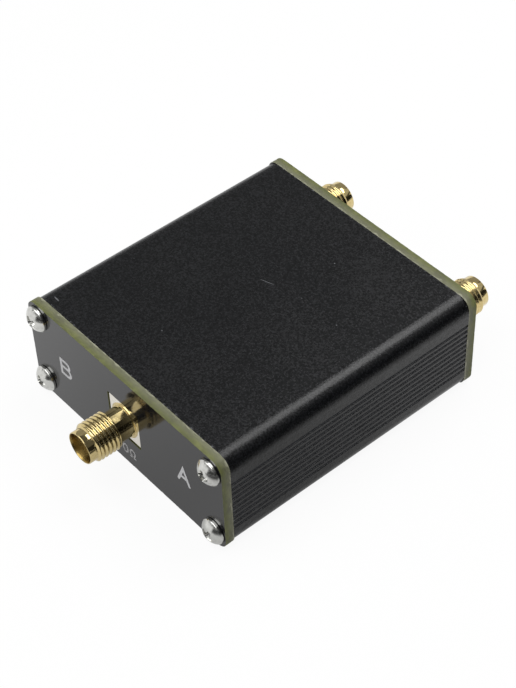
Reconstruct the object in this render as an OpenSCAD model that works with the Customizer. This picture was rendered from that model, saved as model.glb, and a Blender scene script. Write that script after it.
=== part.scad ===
// Coaxial antenna switch: one socket on the front is switched to either of two on the rear.
// Units are millimetres. X runs to the right seen from the front, Y to the rear and Z up.
// The origin is under the middle of the part, on the surface that it stands on.

/* [Case] */
// Width of the aluminium extrusion
case_w = 46; // [45:0.5:60]
// Height of the extrusion
case_h = 18.5; // [17.5:0.1:24]
// Length of the extrusion between the end panels
case_l = 46.8; // [46:0.2:80]
// Outer radius along the case's four long corners
case_corner_r = 2.7; // [2.2:0.1:3]
// Wall thickness of the extrusion
wall = 1.5; // [1.3:0.05:1.8]
// Radius inside the four long corners
inner_r = 0.6; // [0.3:0.1:1]
// Number of decorative grooves along each side wall
groove_count = 10; // [4:1:10]
// Distance between neighbouring grooves
groove_pitch = 1.04; // [0.8:0.02:1.1]
// Radius of a groove's round section
groove_r = 0.29; // [0.15:0.01:0.35]
// How far the grooves' middle lies below half height
groove_drop = 0.3; // [0:0.05:0.6]
// How far the ribs that guide the board stand in from the wall
rib_reach = 1.2; // [0.8:0.1:1.4]
// Thickness of those ribs
rib_t = 1; // [0.6:0.1:1.2]

/* [Panels and screws] */
// Thickness of an end panel
panel_t = 1.6; // [1:0.1:2]
// Radius of a panel's corners, tighter than the case's, so that they stand a little proud of it
panel_corner_r = 2.1; // [1.8:0.1:2.6]
// Gap round a socket's flange in its panel
cutout_gap = 0.05; // [0.05:0.05:0.3]
// Thread diameter of the panel screws
screw_d = 2.5; // [2:0.1:2.6]
// Length of a screw under its head
screw_l = 8; // [5:0.5:12]
// Diameter of the pan heads at the front
head_d = 4.5; // [4:0.1:4.6]
// Height of the pan heads
head_h = 1.7; // [1.4:0.05:2]
// Radius round the edge of the pan heads
head_edge_r = 1.15; // [0.6:0.05:1.3]
// Diameter of the countersunk heads at the rear
flat_head_d = 4.4; // [4.2:0.1:4.6]
// Height of the straight rim round the countersunk heads
flat_rim = 0.15; // [0.1:0.05:0.2]
// Length of the cross recess from tip to tip
cross_l = 2.5; // [1.8:0.1:3]
// Width of the cross recess
cross_w = 0.62; // [0.4:0.02:0.8]
// Depth of the cross recess
cross_depth = 1.05; // [0.6:0.05:1.2]
// Screw centres from the sides
screw_side = 2.5; // [2.4:0.05:2.8]
// Screw centres from the top and the bottom
screw_edge = 2.75; // [2.6:0.05:3]
// Gap round a screw in its panel
screw_hole_gap = 0.15; // [0.05:0.05:0.25]
// Gap round a screw in its channel, at the crest of the cut thread
channel_gap = 0.03; // [0.01:0.01:0.05]
// Wall of a screw channel
channel_wall = 0.95; // [0.7:0.05:1.1]
// Width of the slit along a screw channel
channel_slit = 1.2; // [0.6:0.1:1.6]

/* [Coaxial sockets] */
// How far the sockets' axes lie above half height
jack_rise = 0.15; // [-0.3:0.05:0.4]
// Distance of the rear sockets' axes from the sides
port_inset = 7.5; // [7.3:0.1:10]
// Side of the square flange
flange_w = 6.9; // [6.4:0.05:7.2]
// Thickness of the flange
flange_t = 1.6; // [1.2:0.1:2]
// Radius at the flange's corners
flange_r = 0.15; // [0.05:0.05:0.4]
// How far the flange reaches inwards past its panel
flange_stand = 0.15; // [0.1:0.05:0.4]
// Diameter of the plain neck
neck_d = 5.2; // [4.8:0.05:5.6]
// Length of the neck from the flange to the thread
neck_l = 2.6; // [1.5:0.1:4]
// Outer diameter of the thread
thread_d = 6.35; // [6.2:0.01:6.4]
// Length of the thread
thread_l = 4.05; // [3:0.05:6]
// Diameter of the plain lead-in at the mouth
lead_d = 5.36; // [5.2:0.02:5.6]
// Length of the lead-in
lead_l = 1.65; // [1:0.05:2.5]
// Length of the slope between the thread and the lead-in
lead_slope = 0.3; // [0.1:0.05:0.5]
// Bore at the mouth, which takes the plug
mouth_d = 4.6; // [4.4:0.02:4.7]
// Depth of the mouth bore
mouth_depth = 1.9; // [1.5:0.05:2.5]
// Width of the bevel round the mouth
mouth_bevel = 0.15; // [0.05:0.05:0.25]
// Bore that holds the insulator
insulator_bore_d = 4.1; // [3.6:0.05:4.2]
// Gap round the insulator and round the contact
insulator_gap = 0.02; // [0.01:0.01:0.05]
// Diameter of the centre contact
contact_d = 1.27; // [1.2:0.01:1.4]
// Bore of the centre contact, which takes the plug's pin
contact_bore_d = 0.94; // [0.9:0.01:1]
// Depth of that bore
contact_bore_l = 3; // [2:0.1:4]
// Length of the slots that let the contact spring
contact_slot_l = 2.2; // [1:0.1:3]
// Width of those slots
contact_slot_w = 0.16; // [0.1:0.01:0.2]
// Diameter of the contact's tail on the board
tail_d = 0.8; // [0.6:0.02:1]
// Length of the tail behind the flange
tail_l = 3.4; // [2:0.1:4]
// Length of the four legs that straddle the board
leg_l = 4.5; // [3:0.1:5]
// Width of a leg
leg_w = 1.1; // [0.8:0.05:1.3]
// Height of an upper leg
leg_h = 1.2; // [0.8:0.05:1.4]

/* [Circuit board] */
// Thickness of the board
board_t = 1.6; // [1.2:0.1:2]
// Gap between the board and the case, and above and below it in its slots
board_gap = 0.1; // [0.05:0.05:0.2]
// Gap between the board's ends and the flanges
board_end_gap = 0.05; // [0.02:0.01:0.1]
// Thickness of the copper with its tin, drawn thicker than it is
copper_t = 0.1; // [0.05:0.01:0.15]
// Width of a signal track
track_w = 2.9; // [2:0.1:3.2]
// Width of a control track
thin_track_w = 0.8; // [0.4:0.1:1]
// Gap under what is soldered down
solder_gap = 0.02; // [0.01:0.01:0.05]
// Side of the solder fillets beside the legs
fillet = 0.8; // [0.4:0.05:0.9]
// Side of the solder fillets beside a centre contact's tail
tail_fillet = 0.5; // [0.3:0.05:0.6]
// Distance of the solder from the flange
solder_stop = 0.6; // [0.3:0.1:1]
// Distance of the copper from the board's ends
copper_margin = 0.4; // [0.2:0.1:1]

/* [Relay] */
// Length of the relay's cover
relay_l = 14.8; // [14.4:0.1:16]
// Width of the relay's cover
relay_w = 9.2; // [9:0.1:9.8]
// Centre of the relay, measured to the rear from the middle of the board
relay_y = -3; // [-4:0.5:2]
// Wall of the cover
cover_wall = 0.4; // [0.3:0.05:0.5]
// Radius of the cover's corners
cover_r = 0.6; // [0.5:0.05:1]
// Thickness of the base
relay_base_t = 0.9; // [0.6:0.05:1.2]
// Radius of the base's four feet
foot_r = 0.4; // [0.3:0.05:0.5]
// Distance of the feet from the relay's middle, along it
foot_x = 6.2; // [5.5:0.1:6.3]
// Distance of the feet from the relay's centre line
foot_y = 1.6; // [1:0.1:2]
// Radius of the winding
coil_r = 1.5; // [1.3:0.05:1.6]
// Radius of the bobbin's flanges
bobbin_flange_r = 1.75; // [1.7:0.05:1.8]
// Thickness of the bobbin's flanges
bobbin_flange_t = 0.3; // [0.2:0.05:0.4]
// Radius of the bobbin's tube
bobbin_tube_r = 1; // [0.95:0.01:1.1]
// Half the distance between the outer faces of the core's two poles
pole_reach = 5.75; // [5.5:0.05:5.9]
// Thickness of a pole along the relay
pole_t = 1; // [0.8:0.05:1.05]
// Height of the core's bar
core_t = 0.8; // [0.6:0.05:0.9]
// Width of the core
core_w = 1.6; // [1.2:0.05:1.7]
// Length of the magnet along the relay
magnet_l = 1.3; // [1:0.05:1.4]
// Half the length of the armature
armature_reach = 6; // [5.8:0.05:6.2]
// Thickness of the armature
armature_t = 0.8; // [0.6:0.05:1]
// Angle between the level armature and either stop, in degrees
tilt = 2.2; // [1:0.1:2.6]
// Gap left between the armature and a pole when it is down
pole_gap = 0.03; // [0.02:0.01:0.08]
// Diameter of the pivot pins
pivot_d = 0.9; // [0.8:0.02:1]
// Gap round a pivot pin in its bearing
pivot_gap = 0.03; // [0.02:0.01:0.06]
// Thickness of the terminals' sheet metal
terminal_t = 0.2; // [0.15:0.01:0.25]
// Width of a contact terminal
terminal_w = 0.9; // [0.6:0.05:1]
// Width of a common terminal, which carries a pivot bearing
common_w = 2; // [1.8:0.05:2.1]
// Distance of the coil's terminals from the relay's middle
coil_terminal_x = 3; // [2.8:0.1:3.4]
// Gap between a row of terminals and the cover
terminal_gap = 0.55; // [0.45:0.05:0.6]
// Length of a terminal's foot, from the row outwards
foot_l = 2.05; // [1.6:0.05:2.4]
// Distance of the fixed contacts from the relay's middle
contact_x = 5.8; // [5.6:0.05:5.85]
// Distance of the contact springs' middle from the carrier's sides
spring_inset = 0.55; // [0.5:0.05:0.6]
// Thickness of a contact spring
spring_t = 0.12; // [0.08:0.01:0.15]
// Width of a contact spring
spring_w = 0.8; // [0.6:0.05:0.9]
// Radius of a contact button
button_r = 0.38; // [0.3:0.01:0.4]
// Height of a contact button
button_t = 0.2; // [0.15:0.01:0.25]
// Gap left between closed contacts
contact_gap = 0.02; // [0.01:0.01:0.04]
// Half the length of the carrier that holds the springs
carrier_reach = 1.5; // [1.2:0.05:1.6]
// Gap between the carrier and the terminals beside it
carrier_gap = 0.3; // [0.2:0.05:0.35]
// Width of the carrier's cheek on each side of the armature
cheek_w = 1.95; // [1.8:0.05:2.1]
// Thickness of the carrier over the armature
carrier_top = 0.25; // [0.15:0.05:0.35]

/* [Choke and small parts] */
// Distance of the choke's centre from the board's right-hand edge
choke_side = 12.4; // [11:0.2:13]
// Distance of the choke's centre from the front face
choke_end = 10; // [9:0.5:11]
// Radius of the choke's flanges
choke_r = 2.4; // [2:0.1:2.6]
// Height of the choke's core
choke_h = 4; // [3:0.1:5]
// Thickness of the choke's flanges
choke_flange_t = 0.6; // [0.4:0.05:0.8]
// Radius of the choke's post
choke_post_r = 1.1; // [0.8:0.05:1.3]
// How far the choke's winding lies inside the flanges' rim
choke_inset = 0.25; // [0.1:0.05:0.5]
// Width of the choke's clips
clip_w = 1.4; // [1:0.1:2]
// Distance of the common line's blocking capacitor from the front face
common_cap_inset = 11; // [10:0.5:12]
// Distance of the other blocking capacitors from the rear face
port_cap_inset = 17; // [13:0.5:20]
// Distance of the bypass capacitors' middle from the choke's rim
bypass_gap = 3.2; // [2.8:0.1:3.4]
// Distance between two small chip parts that stand side by side
chip_pitch = 2.4; // [2:0.1:3]
// Distance of the outer bias resistor from the board's left-hand edge
resistor_side = 12.4; // [10:0.2:13]
// Distance of the diode from the board's left-hand edge
diode_side = 11.9; // [10:0.1:14]
// Distance of the diode behind the choke's centre, along the board
diode_shift = 3.3; // [3.2:0.1:3.6]
// Length of a blocking capacitor
blocking_l = 3.2; // [2.8:0.1:3.6]
// Width of a blocking capacitor
blocking_w = 1.6; // [1.2:0.1:2]
// Height of a blocking capacitor
blocking_h = 1.15; // [0.8:0.05:1.4]
// Length of a small chip part
chip_l = 2; // [1.6:0.1:2.2]
// Width of a small chip part
chip_w = 1.25; // [0.8:0.05:1.4]
// Height of a small chip part
chip_h = 0.6; // [0.4:0.05:1]
// Share of a chip's length that each metal end takes
chip_end = 0.22; // [0.15:0.01:0.3]
// Length of the diode's body
diode_l = 4.2; // [3.8:0.1:4.4]
// Width of the diode's body
diode_w = 2.5; // [2:0.1:2.8]
// Height of the diode's body
diode_h = 2; // [1.6:0.1:2.2]
// Width of the diode's tabs
diode_tab_w = 1.4; // [1:0.1:1.6]

/* [Hidden] */

$fn = 48;
// How far a cut runs past a face
cut = 0.5;
// Gap round a fixed piece that sits inside another
slip = 0.02;
// Gap between neighbours that stand clear of each other inside the relay
clear = 0.05;

body_l = case_l + 2 * panel_t;
jack_z = case_h / 2 + jack_rise;
port_x = case_w / 2 - port_inset;
screw_r = screw_d / 2;
channel_r = screw_r + channel_gap;
flat_cone = min((flat_head_d - screw_d) / 2, panel_t - flat_rim - clear);
cutout_w = flange_w + 2 * cutout_gap;
cutout_r = flange_r + cutout_gap;

// The board lies so that the contacts' tails rest on its tracks
board_top = jack_z - tail_d / 2 - solder_gap - copper_t;
board_z = board_top - board_t;
board_end = case_l / 2 - flange_stand - board_end_gap;
board_w = case_w - 2 * wall - 2 * board_gap;
pad_top = board_top + copper_t;
track_end = board_end - copper_margin;

// A socket's stations along its axis, outwards from the panel's face
flange_back = -panel_t - flange_stand;
flange_face = flange_back + flange_t;
thread_start = flange_face + neck_l;
thread_end = thread_start + thread_l;
tip = thread_end + lead_l;
reference_face = tip - mouth_depth;

// The relay's stations across, from its centre line outwards
terminal_row = relay_w / 2 - cover_wall - terminal_gap - terminal_t;
pin_reach = terminal_row + 2 * terminal_t;
carrier_half_w = terminal_row - carrier_gap;
spring_y = carrier_half_w - spring_inset;
armature_w = 2 * (carrier_half_w - cheek_w);

// The relay's levels, upwards from the board
foot_z = pad_top + solder_gap;
relay_base_z = foot_z + terminal_t + slip;
relay_base_top = relay_base_z + relay_base_t;
coil_z = relay_base_top + bobbin_flange_r + clear;
pole_top = coil_z + bobbin_flange_r - clear;
armature_low = pole_top + pole_gap + armature_reach * sin(tilt);
pivot_z = armature_low + armature_t / 2;
pivot_r = pivot_d / 2;
spring_top = -pivot_r - slip / 2;
spring_low = spring_top - spring_t;
moving_contact_low = spring_low - button_t;
fixed_contact_top = pivot_z + moving_contact_low * cos(tilt)
    - (contact_x + button_r) * sin(tilt) - contact_gap;
platform_top = fixed_contact_top - button_t;
carrier_low = spring_low - 3 * clear;
carrier_high = armature_t / 2 + carrier_top;
carrier_rise = carrier_high + carrier_reach * sin(tilt);
armature_rise = armature_t / 2 + armature_reach * sin(tilt);
cover_ceiling = pivot_z + max(common_w / 2, carrier_rise, armature_rise) + 3 * clear;
cover_low = relay_base_z + clear;
spring_reach = contact_x + button_r + 2 * clear;
winding_start = magnet_l / 2 + 2 * clear + bobbin_flange_t;
winding_end = pole_reach - pole_t - clear - bobbin_flange_t;
foot_reach = terminal_row + foot_l;
pad_margin = 0.2;

// Places of the small parts on the board
common_cap_y = -body_l / 2 + common_cap_inset;
port_cap_y = body_l / 2 - port_cap_inset;
choke_x = board_w / 2 - choke_side;
choke_y = -body_l / 2 + choke_end;
bypass_x = choke_x + choke_r + bypass_gap;
resistor_x = -board_w / 2 + resistor_side;
diode_x = -board_w / 2 + diode_side;
diode_y = choke_y + diode_shift;

// Shapes that several pieces share

module rounded_rect(w, h, r) {
    square([w - 2 * r, h], center = true);
    square([w, h - 2 * r], center = true);
    for (x = [-1, 1], y = [-1, 1]) {
        translate([x * (w / 2 - r), y * (h / 2 - r)]) circle(r);
    }
}

// A box between two X, two Y and two Z values
module block(x, y, z) {
    translate([x[0], y[0], z[0]]) cube([x[1] - x[0], y[1] - y[0], z[1] - z[0]]);
}

// Local frame of the front end: the panel's face at y = 0 and the inside towards +Y
module at_front() {
    translate([0, -body_l / 2, 0]) children();
}

// The same frame at the rear end, turned to face backwards
module at_rear() {
    translate([0, body_l / 2, 0]) rotate([0, 0, 180]) children();
}

// Turns a piece that is built upwards so that it points out of the front face
module outwards() {
    rotate([90, 0, 0]) children();
}

module at_common_jack() {
    at_front() translate([0, 0, jack_z]) outwards() children();
}

module at_port_a() {
    at_rear() translate([-port_x, 0, jack_z]) outwards() children();
}

module at_port_b() {
    at_rear() translate([port_x, 0, jack_z]) outwards() children();
}

module at_screws() {
    for (x = [-1, 1], z = [screw_edge, case_h - screw_edge]) {
        translate([x * (case_w / 2 - screw_side), 0, z]) children();
    }
}

// Case and panels

module outline(radius) {
    translate([0, case_h / 2]) rounded_rect(case_w, case_h, radius);
}

module screw_points() {
    for (x = [-1, 1], side = [-1, 1]) {
        translate([x * (case_w / 2 - screw_side), case_h / 2 + side * (case_h / 2 - screw_edge)])
            rotate(side * x > 0 ? (x > 0 ? 225 : 45) : (x > 0 ? 135 : 315)) children();
    }
}

// One pair of ribs on each wall holds the board between them
module board_ribs() {
    reach = case_w / 2 - wall - rib_reach;
    for (x = [-1, 1], z = [board_z - board_gap - rib_t, board_top + board_gap]) {
        translate([x > 0 ? reach : -reach - rib_reach - wall / 2, z]) square([rib_reach + wall / 2, rib_t]);
    }
}

module side_grooves() {
    first = case_h / 2 - groove_drop - (groove_count - 1) / 2 * groove_pitch;
    for (x = [-1, 1], i = [0 : groove_count - 1]) {
        translate([x * case_w / 2, first + i * groove_pitch]) circle(groove_r, $fn = 24);
    }
}

module case_section() {
    difference() {
        outline(case_corner_r);
        difference() {
            translate([0, case_h / 2]) rounded_rect(case_w - 2 * wall, case_h - 2 * wall, inner_r);
            screw_points() circle(channel_r + channel_wall);
            board_ribs();
        }
        screw_points() circle(channel_r);
        screw_points() translate([0, -channel_slit / 2])
            square([channel_r + channel_wall + cut, channel_slit]);
        side_grooves();
    }
}

module case() {
    color("#26272a") outwards() linear_extrude(case_l, center = true) case_section();
}

module panel(cutouts) {
    translate([0, panel_t, 0]) outwards() linear_extrude(panel_t) difference() {
        outline(panel_corner_r);
        screw_points() circle(screw_r + screw_hole_gap);
        for (x = cutouts) {
            translate([x, jack_z]) rounded_rect(cutout_w, cutout_w, cutout_r);
        }
    }
}

module front_panel() {
    color("#4c4c4e") at_front() panel([0]);
}

module rear_panel() {
    color("#4c4c4e") at_rear() difference() {
        panel([-port_x, port_x]);
        at_screws() outwards() flat_head(cut);
    }
}

module shank(top) {
    translate([0, 0, -screw_l]) cylinder(h = screw_r / 2, r1 = screw_r / 2, r2 = screw_r);
    translate([0, 0, -screw_l + screw_r / 2]) cylinder(h = screw_l - screw_r / 2 + top, r = screw_r);
}

module cross_recess(face) {
    for (a = [0, 90]) {
        rotate(a) translate([-cross_l / 2, -cross_w / 2, face - cross_depth])
            cube([cross_l, cross_w, cross_depth + cut]);
    }
}

// A countersunk head, flush at height 0, and the room that it takes in the panel
module flat_head(above) {
    translate([0, 0, -flat_rim]) cylinder(h = flat_rim + above, r = flat_head_d / 2);
    translate([0, 0, -flat_rim - flat_cone])
        cylinder(h = flat_cone, r1 = flat_head_d / 2 - flat_cone, r2 = flat_head_d / 2);
}

module pan_head_screw() {
    difference() {
        union() {
            rotate_extrude() {
                square([head_d / 2 - head_edge_r, head_h]);
                square([head_d / 2, head_h - head_edge_r]);
                intersection() {
                    translate([head_d / 2 - head_edge_r, head_h - head_edge_r]) circle(head_edge_r);
                    square([head_d, head_h]);
                }
            }
            shank(head_h / 2);
        }
        cross_recess(head_h);
    }
}

module flat_head_screw() {
    difference() {
        union() {
            flat_head(0);
            shank(-flat_rim / 2);
        }
        cross_recess(0);
    }
}

module front_panel_screws() {
    color("#c4c4c2") at_front() at_screws() outwards() pan_head_screw();
}

module rear_panel_screws() {
    color("#c4c4c2") at_rear() at_screws() outwards() flat_head_screw();
}

// Coaxial sockets

// Upper legs stand on the board and lower legs reach up to its ground plane
module jack_legs() {
    upper = board_top - jack_z + solder_gap;
    lower = board_z - jack_z - copper_t - solder_gap;
    for (x = [-1, 1]) {
        edge = x > 0 ? flange_w / 2 - leg_w : -flange_w / 2;
        block([edge, edge + leg_w], [upper, upper + leg_h], [flange_back - leg_l, -panel_t]);
        block([edge, edge + leg_w], [-flange_w / 2, lower], [flange_back - leg_l, -panel_t]);
    }
}

// Neck, thread and lead-in; the thread is drawn plain at its outer diameter
module jack_barrel() {
    translate([0, 0, flange_back]) cylinder(h = thread_start - flange_back + cut, d = neck_d);
    translate([0, 0, thread_start]) cylinder(h = thread_l, d = thread_d);
    translate([0, 0, thread_end]) cylinder(h = lead_slope, d1 = thread_d, d2 = lead_d);
    translate([0, 0, thread_end - cut]) cylinder(h = lead_l + cut, d = lead_d);
}

module jack_shell() {
    difference() {
        union() {
            translate([0, 0, flange_back]) linear_extrude(flange_t)
                rounded_rect(flange_w, flange_w, flange_r);
            jack_barrel();
            jack_legs();
        }
        translate([0, 0, flange_back - cut]) cylinder(h = tip - flange_back, d = insulator_bore_d);
        translate([0, 0, reference_face]) cylinder(h = mouth_depth + cut, d = mouth_d);
        translate([0, 0, tip - mouth_bevel])
            cylinder(h = 2 * mouth_bevel, d1 = mouth_d, d2 = mouth_d + 4 * mouth_bevel);
    }
}

module jack_insulator() {
    length = reference_face - flange_back;
    difference() {
        translate([0, 0, flange_back]) cylinder(h = length, d = insulator_bore_d - 2 * insulator_gap);
        translate([0, 0, flange_back - cut])
            cylinder(h = length + 2 * cut, d = contact_d + 2 * insulator_gap);
    }
}

module jack_contact() {
    difference() {
        union() {
            translate([0, 0, flange_back]) cylinder(h = reference_face - flange_back, d = contact_d);
            translate([0, 0, flange_back - tail_l]) cylinder(h = tail_l + cut, d = tail_d);
        }
        translate([0, 0, reference_face - contact_bore_l])
            cylinder(h = contact_bore_l + cut, d = contact_bore_d);
        for (a = [45, 135]) {
            rotate(a) translate([-contact_d, -contact_slot_w / 2, reference_face - contact_slot_l])
                cube([2 * contact_d, contact_slot_w, contact_slot_l + cut]);
        }
    }
}

module common_jack_shell() {
    color("#c9b27a") at_common_jack() jack_shell();
}

module common_jack_insulator() {
    color("#f2f0ea") at_common_jack() jack_insulator();
}

module common_jack_contact() {
    color("#d4b45c") at_common_jack() jack_contact();
}

module port_a_jack_shell() {
    color("#c9b27a") at_port_a() jack_shell();
}

module port_a_jack_insulator() {
    color("#f2f0ea") at_port_a() jack_insulator();
}

module port_a_jack_contact() {
    color("#d4b45c") at_port_a() jack_contact();
}

module port_b_jack_shell() {
    color("#c9b27a") at_port_b() jack_shell();
}

module port_b_jack_insulator() {
    color("#f2f0ea") at_port_b() jack_insulator();
}

module port_b_jack_contact() {
    color("#d4b45c") at_port_b() jack_contact();
}

// Solder beside the outer face of each leg, above and below the board, and beside the tail
module jack_fillets() {
    upper = board_top - jack_z;
    lower = board_z - copper_t - jack_z;
    for (x = [-1, 1]) {
        mirror([x < 0 ? 1 : 0, 0, 0]) {
            translate([flange_w / 2, upper, flange_back - leg_l]) linear_extrude(leg_l - solder_stop)
                polygon([[0, 0], [fillet, 0], [0, fillet]]);
            translate([flange_w / 2, lower, flange_back - leg_l]) linear_extrude(leg_l - solder_stop)
                polygon([[0, 0], [fillet, 0], [0, -fillet]]);
            translate([tail_d / 2, upper + copper_t, flange_back - tail_l])
                linear_extrude(tail_l - solder_stop) polygon([[0, 0], [tail_fillet, 0], [0, tail_fillet]]);
        }
    }
}

module jack_solder() {
    color("#b9bcc0") {
        at_common_jack() jack_fillets();
        at_port_a() jack_fillets();
        at_port_b() jack_fillets();
    }
}

// Circuit board and its copper

module circuit_board() {
    color("#1c5a34") block([-board_w / 2, board_w / 2], [-board_end, board_end], [board_z, board_top]);
}

module ground_plane() {
    reach = case_w / 2 - wall - rib_reach - 2 * board_gap;
    color("#b87b4a") block([-reach, reach], [-track_end, track_end], [board_z - copper_t, board_z]);
}

// A flat pad or track between two corners, on the board
module copper(x, y) {
    block(x, y, [board_top, pad_top]);
}

// Each signal track is broken under its blocking capacitor
module signal_tracks() {
    half = track_w / 2;
    break_half = blocking_l / 2 - blocking_l * chip_end;
    relay_front = relay_y - terminal_row;
    turn_y = relay_y - terminal_row - foot_l / 2;
    inner_x = contact_x - terminal_w / 2 - pad_margin;
    control_line = [choke_y - thin_track_w / 2, choke_y + thin_track_w / 2];
    color("#c08552") {
        copper([-half, half], [-track_end, common_cap_y - break_half]);
        copper([-half, half], [common_cap_y + break_half, relay_front]);
        for (x = [-1, 1]) {
            mirror([x < 0 ? 1 : 0, 0, 0]) {
                translate([0, 0, board_top]) linear_extrude(copper_t) polygon([
                    [inner_x, turn_y - half], [port_x, turn_y - half], [port_x + half, turn_y],
                    [port_x + half, port_cap_y - break_half], [port_x - half, port_cap_y - break_half],
                    [port_x - half, turn_y + half], [inner_x, turn_y + half]
                ]);
                copper([port_x - half, port_x + half], [port_cap_y + break_half, track_end]);
                copper([inner_x, contact_x + terminal_w / 2 + pad_margin],
                    [relay_y + terminal_row, relay_y + foot_reach + pad_margin]);
            }
            coil_pad_x = x * coil_terminal_x;
            copper([coil_pad_x - terminal_w / 2, coil_pad_x + terminal_w / 2],
                [relay_y - foot_reach - pad_margin, relay_y - terminal_row]);
        }
        copper([-common_w / 2, common_w / 2], [relay_y + terminal_row, relay_y + foot_reach + pad_margin]);
        copper([half - thin_track_w, choke_x - choke_r / 4], control_line);
        copper([choke_x + choke_r / 4, bypass_x - chip_l / 2], control_line);
        at_bypass_capacitors() chip_pads();
        at_bias_resistors() chip_pads();
        at_diode() for (x = [0, 1]) {
            mirror([x, 0, 0]) copper([diode_l / 2 - 1, diode_l / 2 + terminal_t + pad_margin],
                [-diode_tab_w / 2 - pad_margin, diode_tab_w / 2 + pad_margin]);
        }
    }
}

// Pads under the two ends of a small chip part
module chip_pads() {
    for (x = [0, 1]) {
        mirror([x, 0, 0]) copper([chip_l / 2 - chip_l * chip_end, chip_l / 2 + pad_margin],
            [-chip_w / 2 - pad_margin, chip_w / 2 + pad_margin]);
    }
}

// Relay

module at_relay() {
    translate([0, relay_y, 0]) children();
}

// The moving pieces are drawn in level and lie tipped down towards port A at rest
module at_rocker() {
    at_relay() translate([0, 0, pivot_z]) rotate([0, tilt, 0]) children();
}

// A terminal's post with its foot turned outwards over the board
module terminal_post(x, w, top) {
    block([x - w / 2, x + w / 2], [terminal_row, terminal_row + terminal_t], [foot_z, top]);
    block([x - w / 2, x + w / 2], [terminal_row, foot_reach], [foot_z, foot_z + terminal_t]);
}

module both_rows() {
    for (side = [0, 1]) {
        mirror([0, side, 0]) children();
    }
}

module post_slot(x, w) {
    block([x - w / 2 - slip, x + w / 2 + slip], [terminal_row - slip, terminal_row + terminal_t + slip],
        [relay_base_z - cut, relay_base_top + cut]);
}

// Outline of the cover, or of what fits inside it by a given margin
module relay_outline(inset) {
    rounded_rect(relay_l - 2 * inset, relay_w - 2 * inset, cover_r - inset / 2);
}

module relay_base() {
    color("#2f2f31") at_relay() {
        difference() {
            translate([0, 0, relay_base_z]) linear_extrude(relay_base_t) relay_outline(cover_wall + clear);
            both_rows() {
                post_slot(0, common_w);
                for (x = [-1, 1]) post_slot(x * contact_x, terminal_w);
            }
            for (x = [-1, 1]) {
                mirror([0, 1, 0]) post_slot(x * coil_terminal_x, terminal_w);
            }
        }
        for (x = [-1, 1], y = [-1, 1]) {
            translate([x * foot_x, y * foot_y, board_top])
                cylinder(h = relay_base_z - board_top, r = foot_r);
        }
    }
}

module relay_cover() {
    color("#3a3b3e") at_relay() difference() {
        translate([0, 0, cover_low]) linear_extrude(cover_ceiling + cover_wall - cover_low)
            relay_outline(0);
        translate([0, 0, cover_low - cut]) linear_extrude(cover_ceiling - cover_low + cut)
            relay_outline(cover_wall);
    }
}

// A bobbin flange is square below, where it stands on the base, and round above
module bobbin_flange(x) {
    span = [x, x + bobbin_flange_t];
    width = [-bobbin_flange_r, bobbin_flange_r];
    intersection() {
        union() {
            translate([x, 0, coil_z]) rotate([0, 90, 0]) cylinder(h = bobbin_flange_t, r = bobbin_flange_r);
            block(span, width, [relay_base_top, coil_z]);
        }
        block(span, width, [relay_base_top, pole_top - 2 * clear]);
    }
}

module relay_bobbin() {
    width = [-core_w / 2 - slip, core_w / 2 + slip];
    height = core_t / 2 + slip;
    color("#e6e2d6") at_relay() difference() {
        union() {
            for (x = [winding_start - bobbin_flange_t, winding_end]) {
                bobbin_flange(x);
                mirror([1, 0, 0]) bobbin_flange(x);
            }
            translate([-winding_end - bobbin_flange_t, 0, coil_z]) rotate([0, 90, 0])
                cylinder(h = 2 * (winding_end + bobbin_flange_t), r = bobbin_tube_r);
        }
        block([-pole_reach, pole_reach], width, [coil_z - height, coil_z + height]);
        block([-magnet_l / 2 - slip, magnet_l / 2 + slip], width, [coil_z, armature_low]);
    }
}

module relay_coil() {
    length = winding_end - winding_start - 2 * slip;
    color("#b5652c") at_relay() for (x = [0, 1]) {
        mirror([x, 0, 0]) translate([winding_start + slip, 0, coil_z]) rotate([0, 90, 0]) difference() {
            cylinder(h = length, r = coil_r);
            translate([0, 0, -cut]) cylinder(h = length + 2 * cut, r = bobbin_tube_r + slip);
        }
    }
}

// The core is a bar with a pole standing up at each end
module relay_core() {
    width = [-core_w / 2, core_w / 2];
    color("#9a9da1") at_relay() {
        block([-pole_reach, pole_reach], width, [coil_z - core_t / 2, coil_z + core_t / 2]);
        for (x = [0, 1]) {
            mirror([x, 0, 0]) block([pole_reach - pole_t, pole_reach], width, [coil_z, pole_top]);
        }
    }
}

module relay_magnet() {
    color("#55585c") at_relay() block([-magnet_l / 2, magnet_l / 2], [-core_w / 2, core_w / 2],
        [coil_z + core_t / 2, armature_low - 2 * clear]);
}

// Each common terminal ends in a round ear that carries a pivot pin
module relay_common_terminals() {
    color("#c9a45a") at_relay() both_rows() difference() {
        union() {
            terminal_post(0, common_w, pivot_z);
            translate([0, terminal_row + terminal_t, pivot_z]) rotate([90, 0, 0])
                cylinder(h = terminal_t, r = common_w / 2);
        }
        translate([0, pin_reach, pivot_z]) rotate([90, 0, 0])
            cylinder(h = 3 * terminal_t, r = pivot_r + pivot_gap);
    }
}

// Each contact terminal ends in a platform turned inwards under a contact spring
module relay_contact_terminals() {
    reach = [spring_y - button_r - clear, terminal_row + terminal_t];
    color("#c9a45a") at_relay() both_rows() for (x = [-1, 1]) {
        terminal_post(x * contact_x, terminal_w, platform_top);
        block([x * contact_x - terminal_w / 2, x * contact_x + terminal_w / 2], reach,
            [platform_top - terminal_t, platform_top]);
    }
}

module relay_coil_terminals() {
    color("#c9a45a") at_relay() mirror([0, 1, 0]) for (x = [-1, 1]) {
        terminal_post(x * coil_terminal_x, terminal_w, coil_z);
    }
}

module relay_fixed_contacts() {
    color("#d9dadb") at_relay() both_rows() for (x = [-1, 1]) {
        translate([x * contact_x, spring_y, platform_top]) cylinder(h = button_t, r = button_r);
    }
}

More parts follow.
